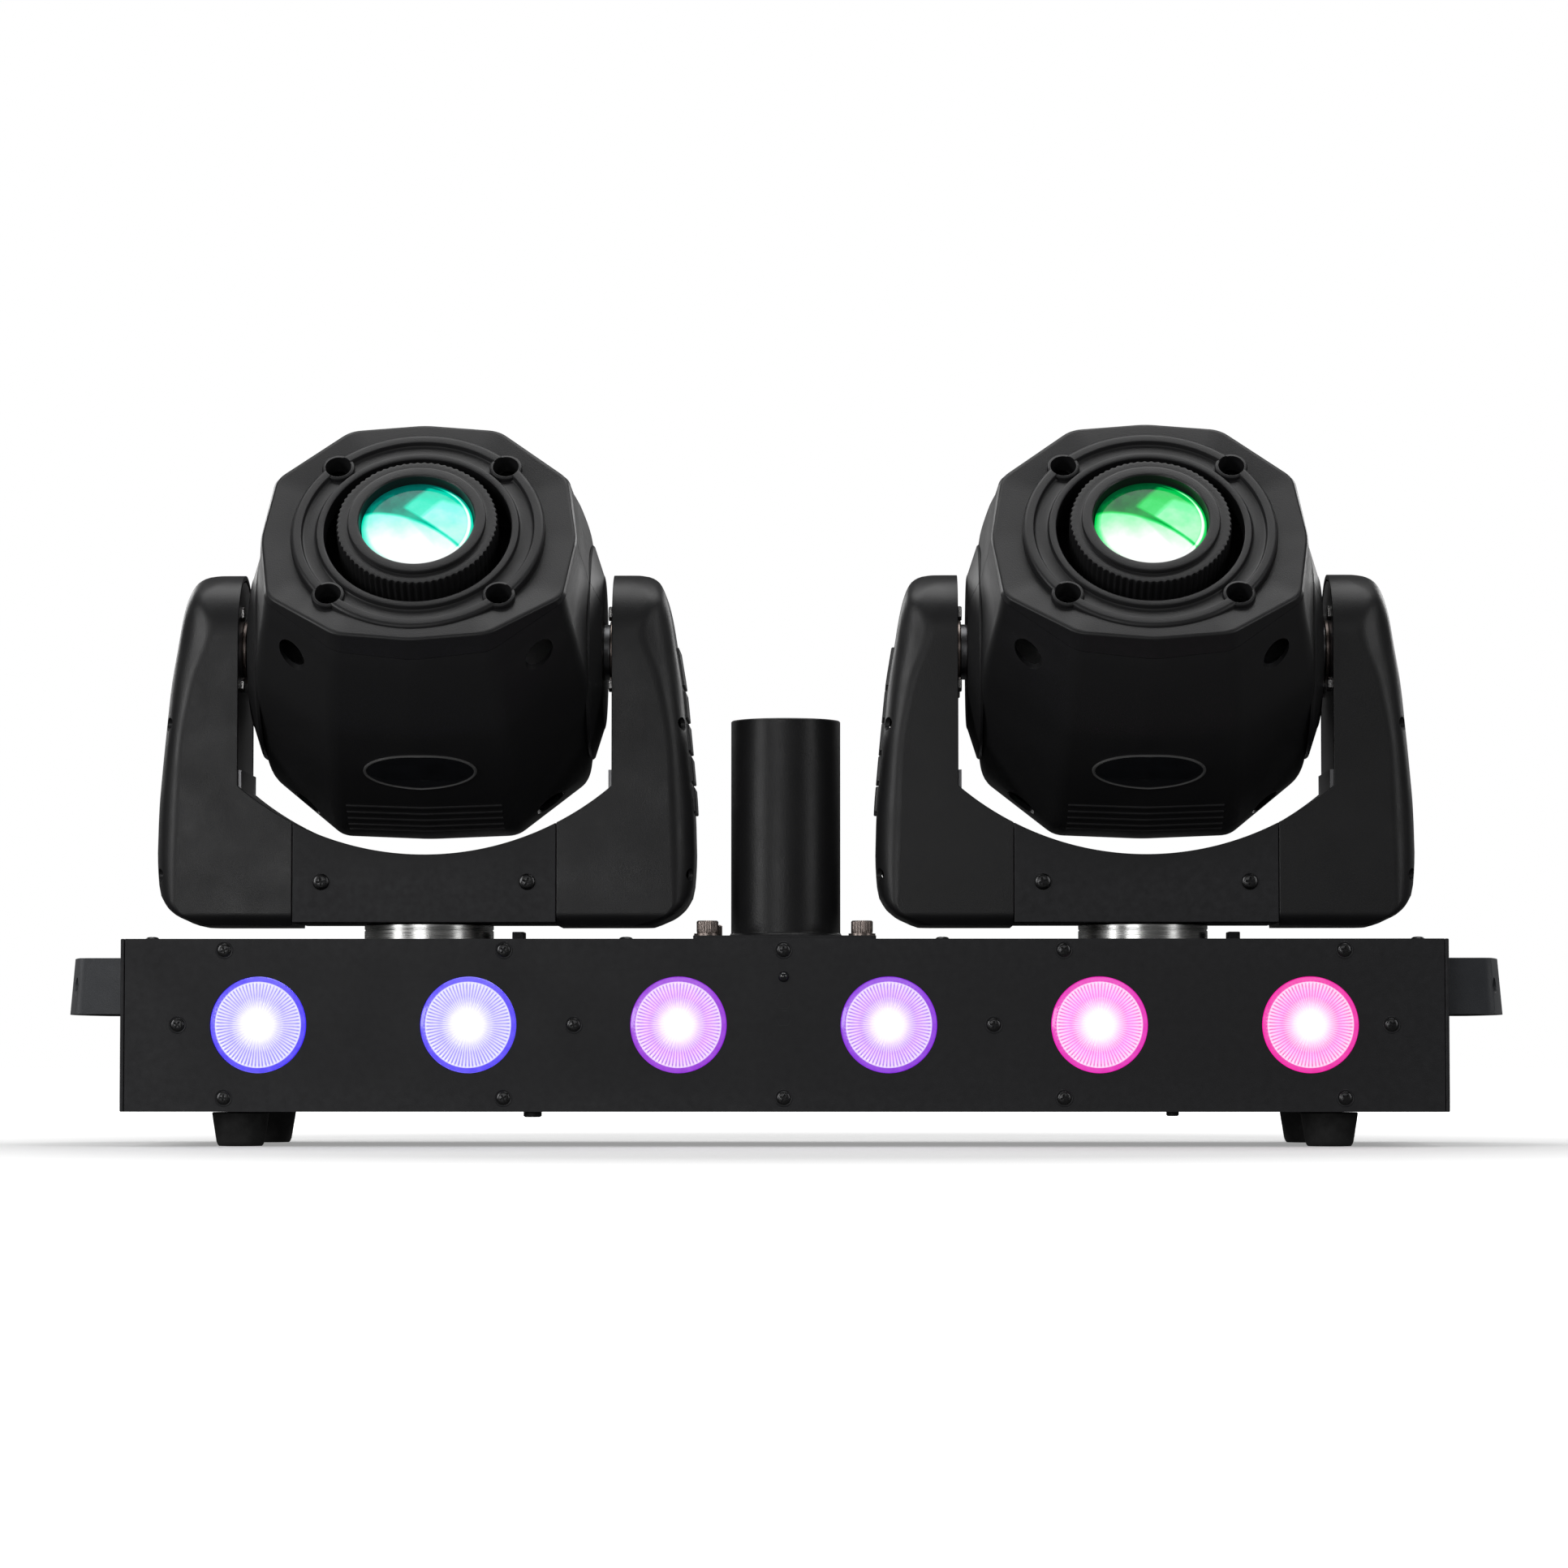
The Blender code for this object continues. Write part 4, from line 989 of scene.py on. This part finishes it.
def toothed(root, teeth=18, depth=0.5):
    """Ripple that cuts teeth where the profile's radius is root."""
    def reach(angle, radius, height):
        if abs(radius - root) > 0.1:
            return radius
        return radius - depth * (0.5 + 0.5 * math.cos(teeth * angle))
    return reach


def pulleys_and_belts(name, side, body):
    """Toothed belt loops and detailed motor pulleys; a belt follows its two pulleys."""
    place = yoke_place(side)
    profile = [(0, 111.5), (6.4, 111.5), (6.8, 111.1), (6.8, 103), (8.5, 102.4), (8.5, 101.2), (2.5, 101.2),
               (2.5, 96.4), (0, 96.4)]
    grooved = turned(profile, "x", (0, 0, TILT_MOTOR_Z), 144, ripple=toothed(6.8))
    detail(f"{name}_tilt_motor_pulley", grooved, place, f"{name}_tilt_pulley")
    profile = [(0, 114.6), (2.5, 114.6), (2.5, 113), (8, 113), (6.5, 112), (6.5, 106.8), (0, 106.8)]
    grooved = turned(profile, "z", (PAN_MOTOR_X, 0, 0), 144, ripple=toothed(6.5))
    detail(f"{name}_pan_motor_pulley", grooved, place, f"{name}_pan_pulley")
    tilt_belt = belt((0, TILT_Z), 18.0, (0, TILT_MOTOR_Z), 7.2, 103.8, 109.4, "YZ")
    piece(f"{name}_tilt_belt", tilt_belt, place, body, "rubber")
    pan_belt = belt((0, 0), HUB_RADIUS + 0.4, (PAN_MOTOR_X, 0), 6.9, 107.4, 111.4, "XY")
    piece(f"{name}_pan_belt", pan_belt, place, body, "rubber")


def belt(first, first_radius, second, second_radius, low, high, plane, thick=1.1):
    """Closed belt round two circles, seen across the plane in which it runs."""
    first, second = Vector(first), Vector(second)
    along = second - first
    heading = math.atan2(along.y, along.x)
    lean = math.acos((first_radius - second_radius) / along.length)

    def loop(extra):
        arcs = []
        whole = heading + 2 * math.pi
        for centre, radius, start, end in ((first, first_radius, heading + lean, whole - lean),
                                           (second, second_radius, heading - lean, heading + lean)):
            arcs += [tuple(centre + Vector((math.cos(a), math.sin(a))) * (radius + extra))
                     for a in spread(start, end, 40)]
        return arcs

    return plate([loop(thick), loop(0)], low, high, plane)


def motors(name, side, body):
    """Square stepper motors in layers: laminated middle, end caps and the tilt motor's front boss."""
    half, place = 17.5, yoke_place(side)

    def square(reach):
        return rounded(rectangle(-reach, reach, -reach, reach), 4, 3)

    stack = []
    for low, high, reach in ((59.4, 68, half), (68, 85, half - 0.5), (85, 94, half)):
        stack.append(plate([[(u, v + TILT_MOTOR_Z) for u, v in square(reach)]], low, high, "YZ"))
    stack.append(rod(11, 93.5, 96, "x", (0, 0, TILT_MOTOR_Z), 64))
    detail(f"{name}_tilt_motor", together(stack), place, body)
    outline = [(PAN_MOTOR_X + u * 16 / half, v) for u, v in square(half)]
    layers = [plate([outline], low, high, "XY") for low, high in ((115, 119), (119.2, 128), (128.2, 132.4))]
    detail(f"{name}_pan_motor", together(layers), place, body)


def on_inner_faces(profile, centres, segments, ring=False):
    """A turned part on both inner faces of the yoke, its front towards the head."""
    parts = []
    for way in (-1, 1):
        for centre in centres:
            part = turned(profile, "x", centre, segments, ring)
            bmesh.ops.scale(part, vec=(-way, 1, 1), verts=part.verts)
            bmesh.ops.translate(part, vec=(way * (YOKE_INNER + 0.2), 0, 0), verts=part.verts)
            parts.append(facing_out(part))
    return together(parts)


def yoke_metal(name, side, body):
    """Sheet-metal yoke with rolled edges, and the bearing hardware that shows beside the head."""
    node, place = f"{name}_yoke_frame", yoke_place(side)
    detail(node, softened(copied(node), 0.3, 2, 40), ROW_PLACE, body)
    washer = [(9.4, 0), (14.5, 0), (14.9, 0.4), (14.9, 1.5), (14.3, 2.0), (9.4, 2.0)]
    washers = on_inner_faces(washer, [(0, 0, TILT_Z)], 72, True)
    piece(f"{name}_tilt_bearings", washers, place, body, "steel", finish=BOLT_BRONZE)
    nut = [(0, 0), (3.2, 0), (3.4, 0.3), (3.4, 1.6), (3.0, 2.0), (0, 2.0)]
    nuts = on_inner_faces(nut, [(0, y, z) for z in (213, 246) for y in (-20, 20)], 6)
    piece(f"{name}_bearing_nuts", nuts, place, body, "steel", finish=SCREW_BRIGHT)


def mirrored_place(side):
    """The arm cover nearer the tube is the outer one's mirror about the pan axis."""
    return Matrix.Translation((side * PAN_X, BAR_Y, 0)) @ Matrix.Diagonal((-side, 1, 1, 1))


def build_yoke(name, side):
    body = f"{name}_yoke"
    pan_column(f"{name}_pan_bearing", side)
    yoke_base(f"{name}_yoke_base_cover", side, body)
    arm_cover(f"{name}_arm_cover_outer", yoke_place(side), body, False)
    arm_cover(f"{name}_arm_cover_inner", mirrored_place(side), body, True)
    pulleys_and_belts(name, side, body)
    motors(name, side, body)
    yoke_metal(name, side, body)


# ---- the head ----

BODY = [  # depth, corner x, corner z, upper edge x, upper edge z, crown z, side x: front to back
    (76.5, 67.9, 36.5, 35.2, 63.0, 66.8, 72.4),
    (56, 72.5, 41.5, 37.5, 70.0, 73.2, 75.8),
    (30, 76.0, 45.0, 39.5, 76.0, 78.5, 78.4),
    (0, 77.0, 46.0, 40.5, 78.4, 80.2, 79.2),
    (-30, 75.6, 44.0, 41.0, 77.2, 79.0, 79.0),
    (-54, 73.0, 34.5, 41.0, 66.5, 68.6, 75.5),
    (-72, 66.5, 16.5, 39.0, 48.0, 50.0, 68.0),
]
FACE = (87.0, 67.0, 36.0, 34.5, 61.5, 65.0, 72.0)
SEAM = (75.0, 76.5, 80.0, 79.6)
FACE_DEPTHS = (87.0, 87.0, 82.7, 82.0)


def octagon(row, wall=0.0, depths=None, corner=4.5):
    """Section of the head with rounded corners; depths gives crown, edge, corner and side their own depth."""
    depth, corner_x, corner_z, edge_x, edge_z, crown, side = row
    crown_d, edge_d, corner_d, side_d = depths or (depth,) * 4
    slim = wall * 0.7
    quarter = [(0, crown - wall, crown_d), (edge_x - slim * 0.6, edge_z - wall, edge_d),
               (corner_x - wall, corner_z - slim * 0.6, corner_d), (side - wall, 0, side_d)]
    right = quarter + [(x, -z, d) for x, z, d in quarter[2::-1]]
    points = right + [(-x, z, d) for x, z, d in right[5:0:-1]]
    return rounded([(x, -d, z) for x, z, d in points], corner, 6)


def body_row(depth):
    """Row of BODY at any depth, on smooth curves through its rows."""
    tables = [sorted((row[0], row[i]) for row in BODY) for i in range(1, 7)]
    return (depth, *(smooth_between(table, depth) for table in tables))


def head_body(wall, front, rear):
    rings = [octagon(BODY[0], wall, [d + front for d in SEAM])]
    rings += [octagon(body_row(depth), wall) for depth in spread(70, -70, 28)]
    last = BODY[-1]
    if wall:
        rings.append(octagon((last[0] + rear,) + last[1:], wall))
        return loft(rings)
    for back, slim in ((-71.2, 0.4), (-71.8, 1.2), (-72.0, 2.4)):
        # corner z and upper edge x pull in less than the rest
        inward = [v - slim * (0.6 if i in (1, 2) else 1) for i, v in enumerate(last[1:])]
        rings.append(octagon((back, *inward)))
    return loft(rings)


POCKETS = [(way * x, -depth, -floor) for x, depth, floor in ((56, 62, 34), (57, -38, 38)) for way in (-1, 1)]


def shell(name, side, body, upper):
    """Half of the casing: wall, side bosses, vent slots, and screw pockets in the lower half."""
    label = f"{name}_{'upper' if upper else 'lower'}_shell"
    boss = [(0, 82), (34.8, 82), (35.7, 81.8), (36.4, 81.4), (49.6, 77.1), (50.2, 76.4), (50, 75.2),
            (0, 75.2)]
    left = [(r, -x) for r, x in boss[::-1]]
    case = joined(head_body(0, 0, 0), *[turned(profile, "x", segments=112) for profile in (boss, left)])
    tools = [head_body(SHELL_WALL, 8, SHELL_WALL), rod(COLLAR_RADIUS + 0.6, -90, 90, "x", segments=64)]
    if not upper:
        tools.append(together([turned([(0, -90), (6.6, -90), (6, floor - 14), (6, floor), (0, floor)], "z",
                                      (x, y, 0), 48) for x, y, floor in POCKETS]))
    way = 1 if upper else -1
    slots = [[(x - 2, way * 8), (x + 2, way * 8), (x + 2, way * 36), (x - 2, way * 36)]
             for x in range(-30, 31, 15)]
    tools.append(together([plate([rounded(slot, 1.9, 6)], 60, 80, "XZ") for slot in slots]))
    low, high = (GAP / 2, 100) if upper else (-100, -GAP / 2)
    case = combined(cut(case, *tools), [("INTERSECT", box((-100, -100, low), (100, 100, high)))])
    detail(label, case, head_place(side), body, sharp=30)
    if not upper:
        screwed(f"{name}_shell_screws", 3.4, 1.6, "down", POCKETS, head_place(side), body, SCREW_BRIGHT)


BEZEL_CORNERS = [(x, z) for x in (-38.5, 38.5) for z in (-38.2, 38.2)]


def bezel(name, side, body):
    """Face with a rounded rim, raised ring, soft groove and lip, lens recess and four screw wells."""
    label = f"{name}_front_bezel"
    back = [(x, y - GAP, z) for x, y, z in octagon(BODY[0], 0, SEAM)]
    rim = [octagon(FACE[:1] + tuple(v - slim for v in FACE[1:]), 0, [d - drop for d in FACE_DEPTHS])
           for slim, drop in ((1.6, 0.0), (0.9, 0.12), (0.35, 0.4), (0.08, 0.8), (0.0, 1.2))]
    face = loft(rim + [back])
    ring = turned([(0, 79.5), (58, 79.5), (58, 86.6), (57.6, 87.4), (56.8, 87.9), (56, 88), (0, 88)], "front",
                  segments=144)
    recess = turned([(0, 60), (42.6, 60), (42.6, 87.1), (42.9, 87.7), (43.6, 88.05), (43.6, 95),
                     (0, 95)], "front", segments=144)
    groove = turned([(45.4, 89), (45.4, 88.05), (45.9, 87.8), (46.2, 87.2), (46.6, 86.2), (47.6, 85.6),
                     (51.4, 85.6), (52.4, 86.2), (52.8, 87.2), (53.1, 87.8), (53.6, 88.05),
                     (53.6, 89)], "front", segments=144, ring=True)
    well = [(0, 78), (5.75, 78), (5.75, 87.2), (6.2, 88.05), (6.2, 95), (0, 95)]
    collar = [(0, 80), (7.5, 80), (7.5, 86.6), (7.2, 87.3), (6.6, 87.6), (0, 87.6)]
    wells, rims = (together([turned(profile, "front", (x, 0, z), 56) for x, z in BEZEL_CORNERS])
                   for profile in (well, collar))
    shape = combined(face, [("UNION", ring), ("DIFFERENCE", groove), ("UNION", rims), ("DIFFERENCE", recess),
                            ("DIFFERENCE", wells)])
    place = head_place(side)
    detail(label, shape, place, body, sharp=34)
    screwed(f"{name}_bezel_screws", 4.0, 1.8, "front", [(x, -78, z) for x, z in BEZEL_CORNERS], place, body)


def belly_point(x, depth, lift):
    """Point on the underside, a little proud of the shell."""
    row = body_row(depth)
    edge_x, edge_z, crown = row[3], row[4], row[5]
    return (x, -depth, -(crown - (crown - edge_z) * abs(x) / edge_x) - lift)


BADGE_DEPTH, BADGE_HALF_WIDE, BADGE_HALF_LONG = 10.5, 26.0, 11.5


def belly(name, side, body):
    """Blank oval badge in a thin rim, and five fine ribs, all following the shell."""

    def oval(scale, lift):
        wide, long = BADGE_HALF_WIDE * scale, BADGE_HALF_LONG * scale
        return [belly_point(wide * math.cos(a), BADGE_DEPTH + long * math.sin(a), lift)
                for a in angles_round(96)]

    place = head_place(side)
    field = [oval(0.95, -0.8), oval(0.95, 0.30), oval(0.92, 0.45)]
    field += [oval(scale, 0.45 + 0.35 * (1 - scale)) for scale in (0.8, 0.6, 0.4, 0.2, 0.02)]
    piece(f"{name}_badge", loft(field), place, body, "plastic_black", finish=DARK_WINDOW, sharp=40)
    steps = ((0.95, -0.8), (0.95, 0.7), (0.97, 0.95), (0.995, 0.8), (1.0, 0.5), (1.0, -0.8))
    edges = [oval(*step) for step in steps]
    piece(f"{name}_badge_rim", facing_out(skinned(edges, closed=True)), place, body, "plastic_black",
          finish=BADGE_RIM, sharp=40)
    ribs = []
    for depth in (-16, -21, -26, -31, -36):
        section = ((0.8, -0.5), (0.5, 0.7), (-0.5, 0.7), (-0.8, -0.5))
        ribs.append(loft([[belly_point(x, depth + off, lift) for off, lift in section]
                          for x in spread(-36, 36, 24)]))
    piece(f"{name}_belly_ribs", together(ribs), place, body, "plastic_black")


def focus_ring(name, side):
    """Two-step ring: coarse scallops round its base and fine knurling behind the front lip."""
    def grip(angle, radius, height):
        base = 36.7 < radius < 36.9 and 68 < height < 92.4
        step = 35.0 < radius < 36.7 and height > 92.3
        if not (base or step):
            return radius
        fine, slow = (0.5 + 0.5 * math.cos(count * angle) for count in (72, 9))
        return radius - (0.85 if base else 0.55) * fine - 0.18 * slow

    profile = [(26.3, 94.4), (26.8, 94.9), (27.6, 95), (30.4, 95), (31.1, 94.8), (31.4, 94.2), (31.4, 93.4),
               (31.5, 92.9), (32.0, 92.7), (33.4, 92.75), (35.4, 92.8), (36.4, 92.7), (36.8, 92.3), (36.8, 90),
               (36.8, 86), (36.8, 68.1), (36.4, 66), (27, 66), (27, 79), (26.3, 79)]
    label = f"{name}_focus_ring"
    detail(label, turned(profile, "front", segments=432, ring=True, ripple=grip), head_place(side), label,
           finish=KNURLED, sharp=30)


def glow_finish(name, dark, middle, bright):
    """Lit objective: dim tinted top and a bright lower half, with painted shade round the edge, a painted
    highlight ring just inside it and, at the right, a painted reflection, oblong and in two steps.
    """
    made = Finish(name, scaled(middle, 0.3), 0.12, Specular_IOR_Level=0.25)
    made.tinted(made.mapped(made.noise(0.01), 0, 1), scaled(dark, 0.3), scaled(dark, 0.8))
    made.rough(made.noise(0.006), 0.03)
    made.bumped(made.noise(0.004), 0.000004, 0.3)
    x, _, z = made.split()
    u, w = (made.maths("DIVIDE", axis, LENS_RADIUS * MM) for axis in (x, z))
    reach = made.distance(u, w, 1.0)

    def side_of(along_u, along_w, offset, soft=0.03, upward=w):
        """1 where along_u * u + along_w * w + offset is positive, with a soft edge."""
        value = made.plus(made.times(u, along_u), made.times(upward, along_w), offset)
        return made.mapped(value, 0.0, 1.0, -soft, soft)

    # Painted reflection: a bright oblong shape at the right of the lens, with a brighter inner step.
    painted_reflection = made.times(side_of(0.55, -0.42, 0.268), side_of(0.66, 0.85, -0.10), side_of(-0.30, -0.95, 0.88))
    inner = made.times(side_of(0.53, -0.40, -0.010), side_of(-0.14, -0.54, 0.345), painted_reflection)
    bowed = made.maths("SUBTRACT", w, made.times(u, u, -0.22))
    lower = side_of(-0.50, -1.0, -0.02, 0.04, bowed)
    fan = made.times(lower, side_of(-0.62, -0.50, -0.08, 0.02))
    total = made.plus(made.mapped(w, 0.34, 0.12, -0.2, 0.95), made.times(painted_reflection, 0.26), made.times(inner, 0.22),
                      made.times(lower, 0.40), made.times(fan, 0.07),
                      made.times(lower, made.mapped(w, 0.0, 0.34, 0.05, -0.75)),
                      made.mapped(made.noise(0.009), -0.05, 0.05))
    # Painted highlight: a thin bright ring just inside the lens's edge, stronger towards the right.
    painted_rim_highlight = made.times(made.mapped(reach, 0.0, 1.0, 0.90, 0.92), made.mapped(reach, 1.0, 0.0, 0.945, 0.965),
                           made.mapped(u, 0.0, 0.45, 0.15, 0.6))
    # Painted shade: towards the edge the glow falls to 0.55 of its value.
    shade = made.plus(made.times(total, made.mapped(reach, 1.0, 0.55, 0.88, 1.0)), painted_rim_highlight)
    made.lit(made.ramp(shade, [(0.0, scaled(dark, 0.4)), (0.16, dark), (0.48, middle), (0.72, bright),
                               (1.0, (1, 1, 1))]))
    return made.material


def objective(name, side, finish):
    label = f"{name}_objective_lens"
    tip, drop, spread_angle = 94.0, 4.0, 1.2
    dome = [(LENS_RADIUS * math.sin(a), tip - drop * (1 - math.cos(a)) / (1 - math.cos(spread_angle)))
            for a in spread(0, spread_angle, 30)]
    scale = LENS_RADIUS / dome[-1][0]
    profile = [(r * scale, h) for r, h in dome] + [(LENS_RADIUS, 83.5), (0, 81.8)]
    detail(label, turned(profile, "front", segments=128), head_place(side, False), f"{name}_objective",
           finish=finish, sharp=40, local=True)


def head_metal(name, side, body):
    """Inner metalwork with rolled edges."""
    for node, slot in ((f"{name}_head_frame", "steel"), (f"{name}_light_engine", "aluminium")):
        detail(node, softened(copied(node), 0.25, 2, 40), ROW_PLACE, body)


def build_head(name, side, finish):
    body = f"{name}_head"
    shell(name, side, body, False)
    shell(name, side, body, True)
    bezel(name, side, body)
    belly(name, side, body)
    focus_ring(name, side)
    objective(name, side, finish)
    head_metal(name, side, body)


# ---- light, floor and camera ----

def stage():
    """Pale floor for the camera alone, which fades into the white backdrop away from the object."""
    bpy.ops.mesh.primitive_plane_add(size=60, location=(0, 0, 0))
    floor = bpy.context.object
    floor.name = "floor"
    finish = Finish("pale_floor", (0.8, 0.8, 0.8), 0.9, Specular_IOR_Level=0.0)
    inputs = finish.shader.inputs
    inputs["Base Color"].default_value = (*finish.colour, 1)
    inputs["Roughness"].default_value = finish.roughness
    inputs["Emission Color"].default_value = (1, 1, 1, 1)
    x, y, _ = finish.split()
    fade = finish.mapped(finish.distance(x, y, 1.0), 0.30, 1.0, 0.33, 0.75)
    finish.links.new(fade, inputs["Emission Strength"])
    floor.data.materials.append(finish.material)
    floor.visible_glossy = False
    floor.visible_diffuse = False


LIGHTS = (  # name, place in metres, width, height, watts
    ("key_left", (-1.6, -1.1, 0.7), 0.45, 1.2, 9), ("key_right", (1.6, -1.1, 0.7), 0.45, 1.2, 4),
    ("top", (0, 0.1, 1.7), 1.8, 1.0, 13), ("front", (0, -2.8, 1.1), 1.6, 0.7, 3),
    ("front_low", (-0.6, -2.0, 0.16), 0.8, 0.25, 3),
    ("rear_left", (-1.5, 1.7, 1.0), 1.0, 1.0, 12), ("rear_right", (1.5, 1.7, 1.0), 1.0, 1.0, 12),
)
LIT_POINT = Vector((0, 0, 0.15))


def soft_light(name, place, wide, tall, power):
    data = bpy.data.lights.new(name, "AREA")
    data.energy = power
    data.shape = "RECTANGLE"
    data.size, data.size_y = wide, tall
    lamp = bpy.data.objects.new(name, data)
    lamp.location = place
    lamp.rotation_euler = (LIT_POINT - Vector(place)).to_track_quat("-Z", "Y").to_euler()
    bpy.context.scene.collection.objects.link(lamp)
    lamp.visible_camera = False


def lights():
    """Soft area lights, and a world that is dim as a light and white to the camera."""
    for row in LIGHTS:
        soft_light(*row)
    world = bpy.data.worlds.new("studio")
    bpy.context.scene.world = world
    world.use_nodes = True
    nodes, links = world.node_tree.nodes, world.node_tree.links
    lit, seen = nodes["Background"], nodes.new("ShaderNodeBackground")
    lit.inputs["Color"].default_value, lit.inputs["Strength"].default_value = (1, 1, 1, 1), 0.07
    seen.inputs["Color"].default_value, seen.inputs["Strength"].default_value = (1, 1, 1, 1), 1.0
    path, mix = nodes.new("ShaderNodeLightPath"), nodes.new("ShaderNodeMixShader")
    links.new(path.outputs["Is Camera Ray"], mix.inputs["Fac"])
    links.new(lit.outputs["Background"], mix.inputs[1])
    links.new(seen.outputs["Background"], mix.inputs[2])
    links.new(mix.outputs["Shader"], nodes["World Output"].inputs["Surface"])


def camera():
    data = bpy.data.cameras.new("camera")
    data.lens = 114.22
    data.sensor_width = 36
    made = bpy.data.objects.new("camera", data)
    made.location = (0.030, -2.31155, 0.0377)
    made.rotation_euler = (math.radians(93.21), 0, math.radians(0.76))
    bpy.context.scene.collection.objects.link(made)
    bpy.context.scene.camera = made


build_bar()
GLOWS = {  # dark, middle and bright tint
    "left": ((0.0, 0.105, 0.085), (0.0, 0.78, 0.50), (0.22, 1.0, 0.82)),
    "right": ((0.0, 0.075, 0.020), (0.0, 0.66, 0.09), (0.16, 0.98, 0.36)),
}
for unit, way in (("left", -1), ("right", 1)):
    build_yoke(unit, way)
    build_head(unit, way, glow_finish(f"{unit}_glow", *GLOWS[unit]))
dress_frame()
stage()
lights()
camera()
bpy.context.scene.view_settings.view_transform = "Standard"
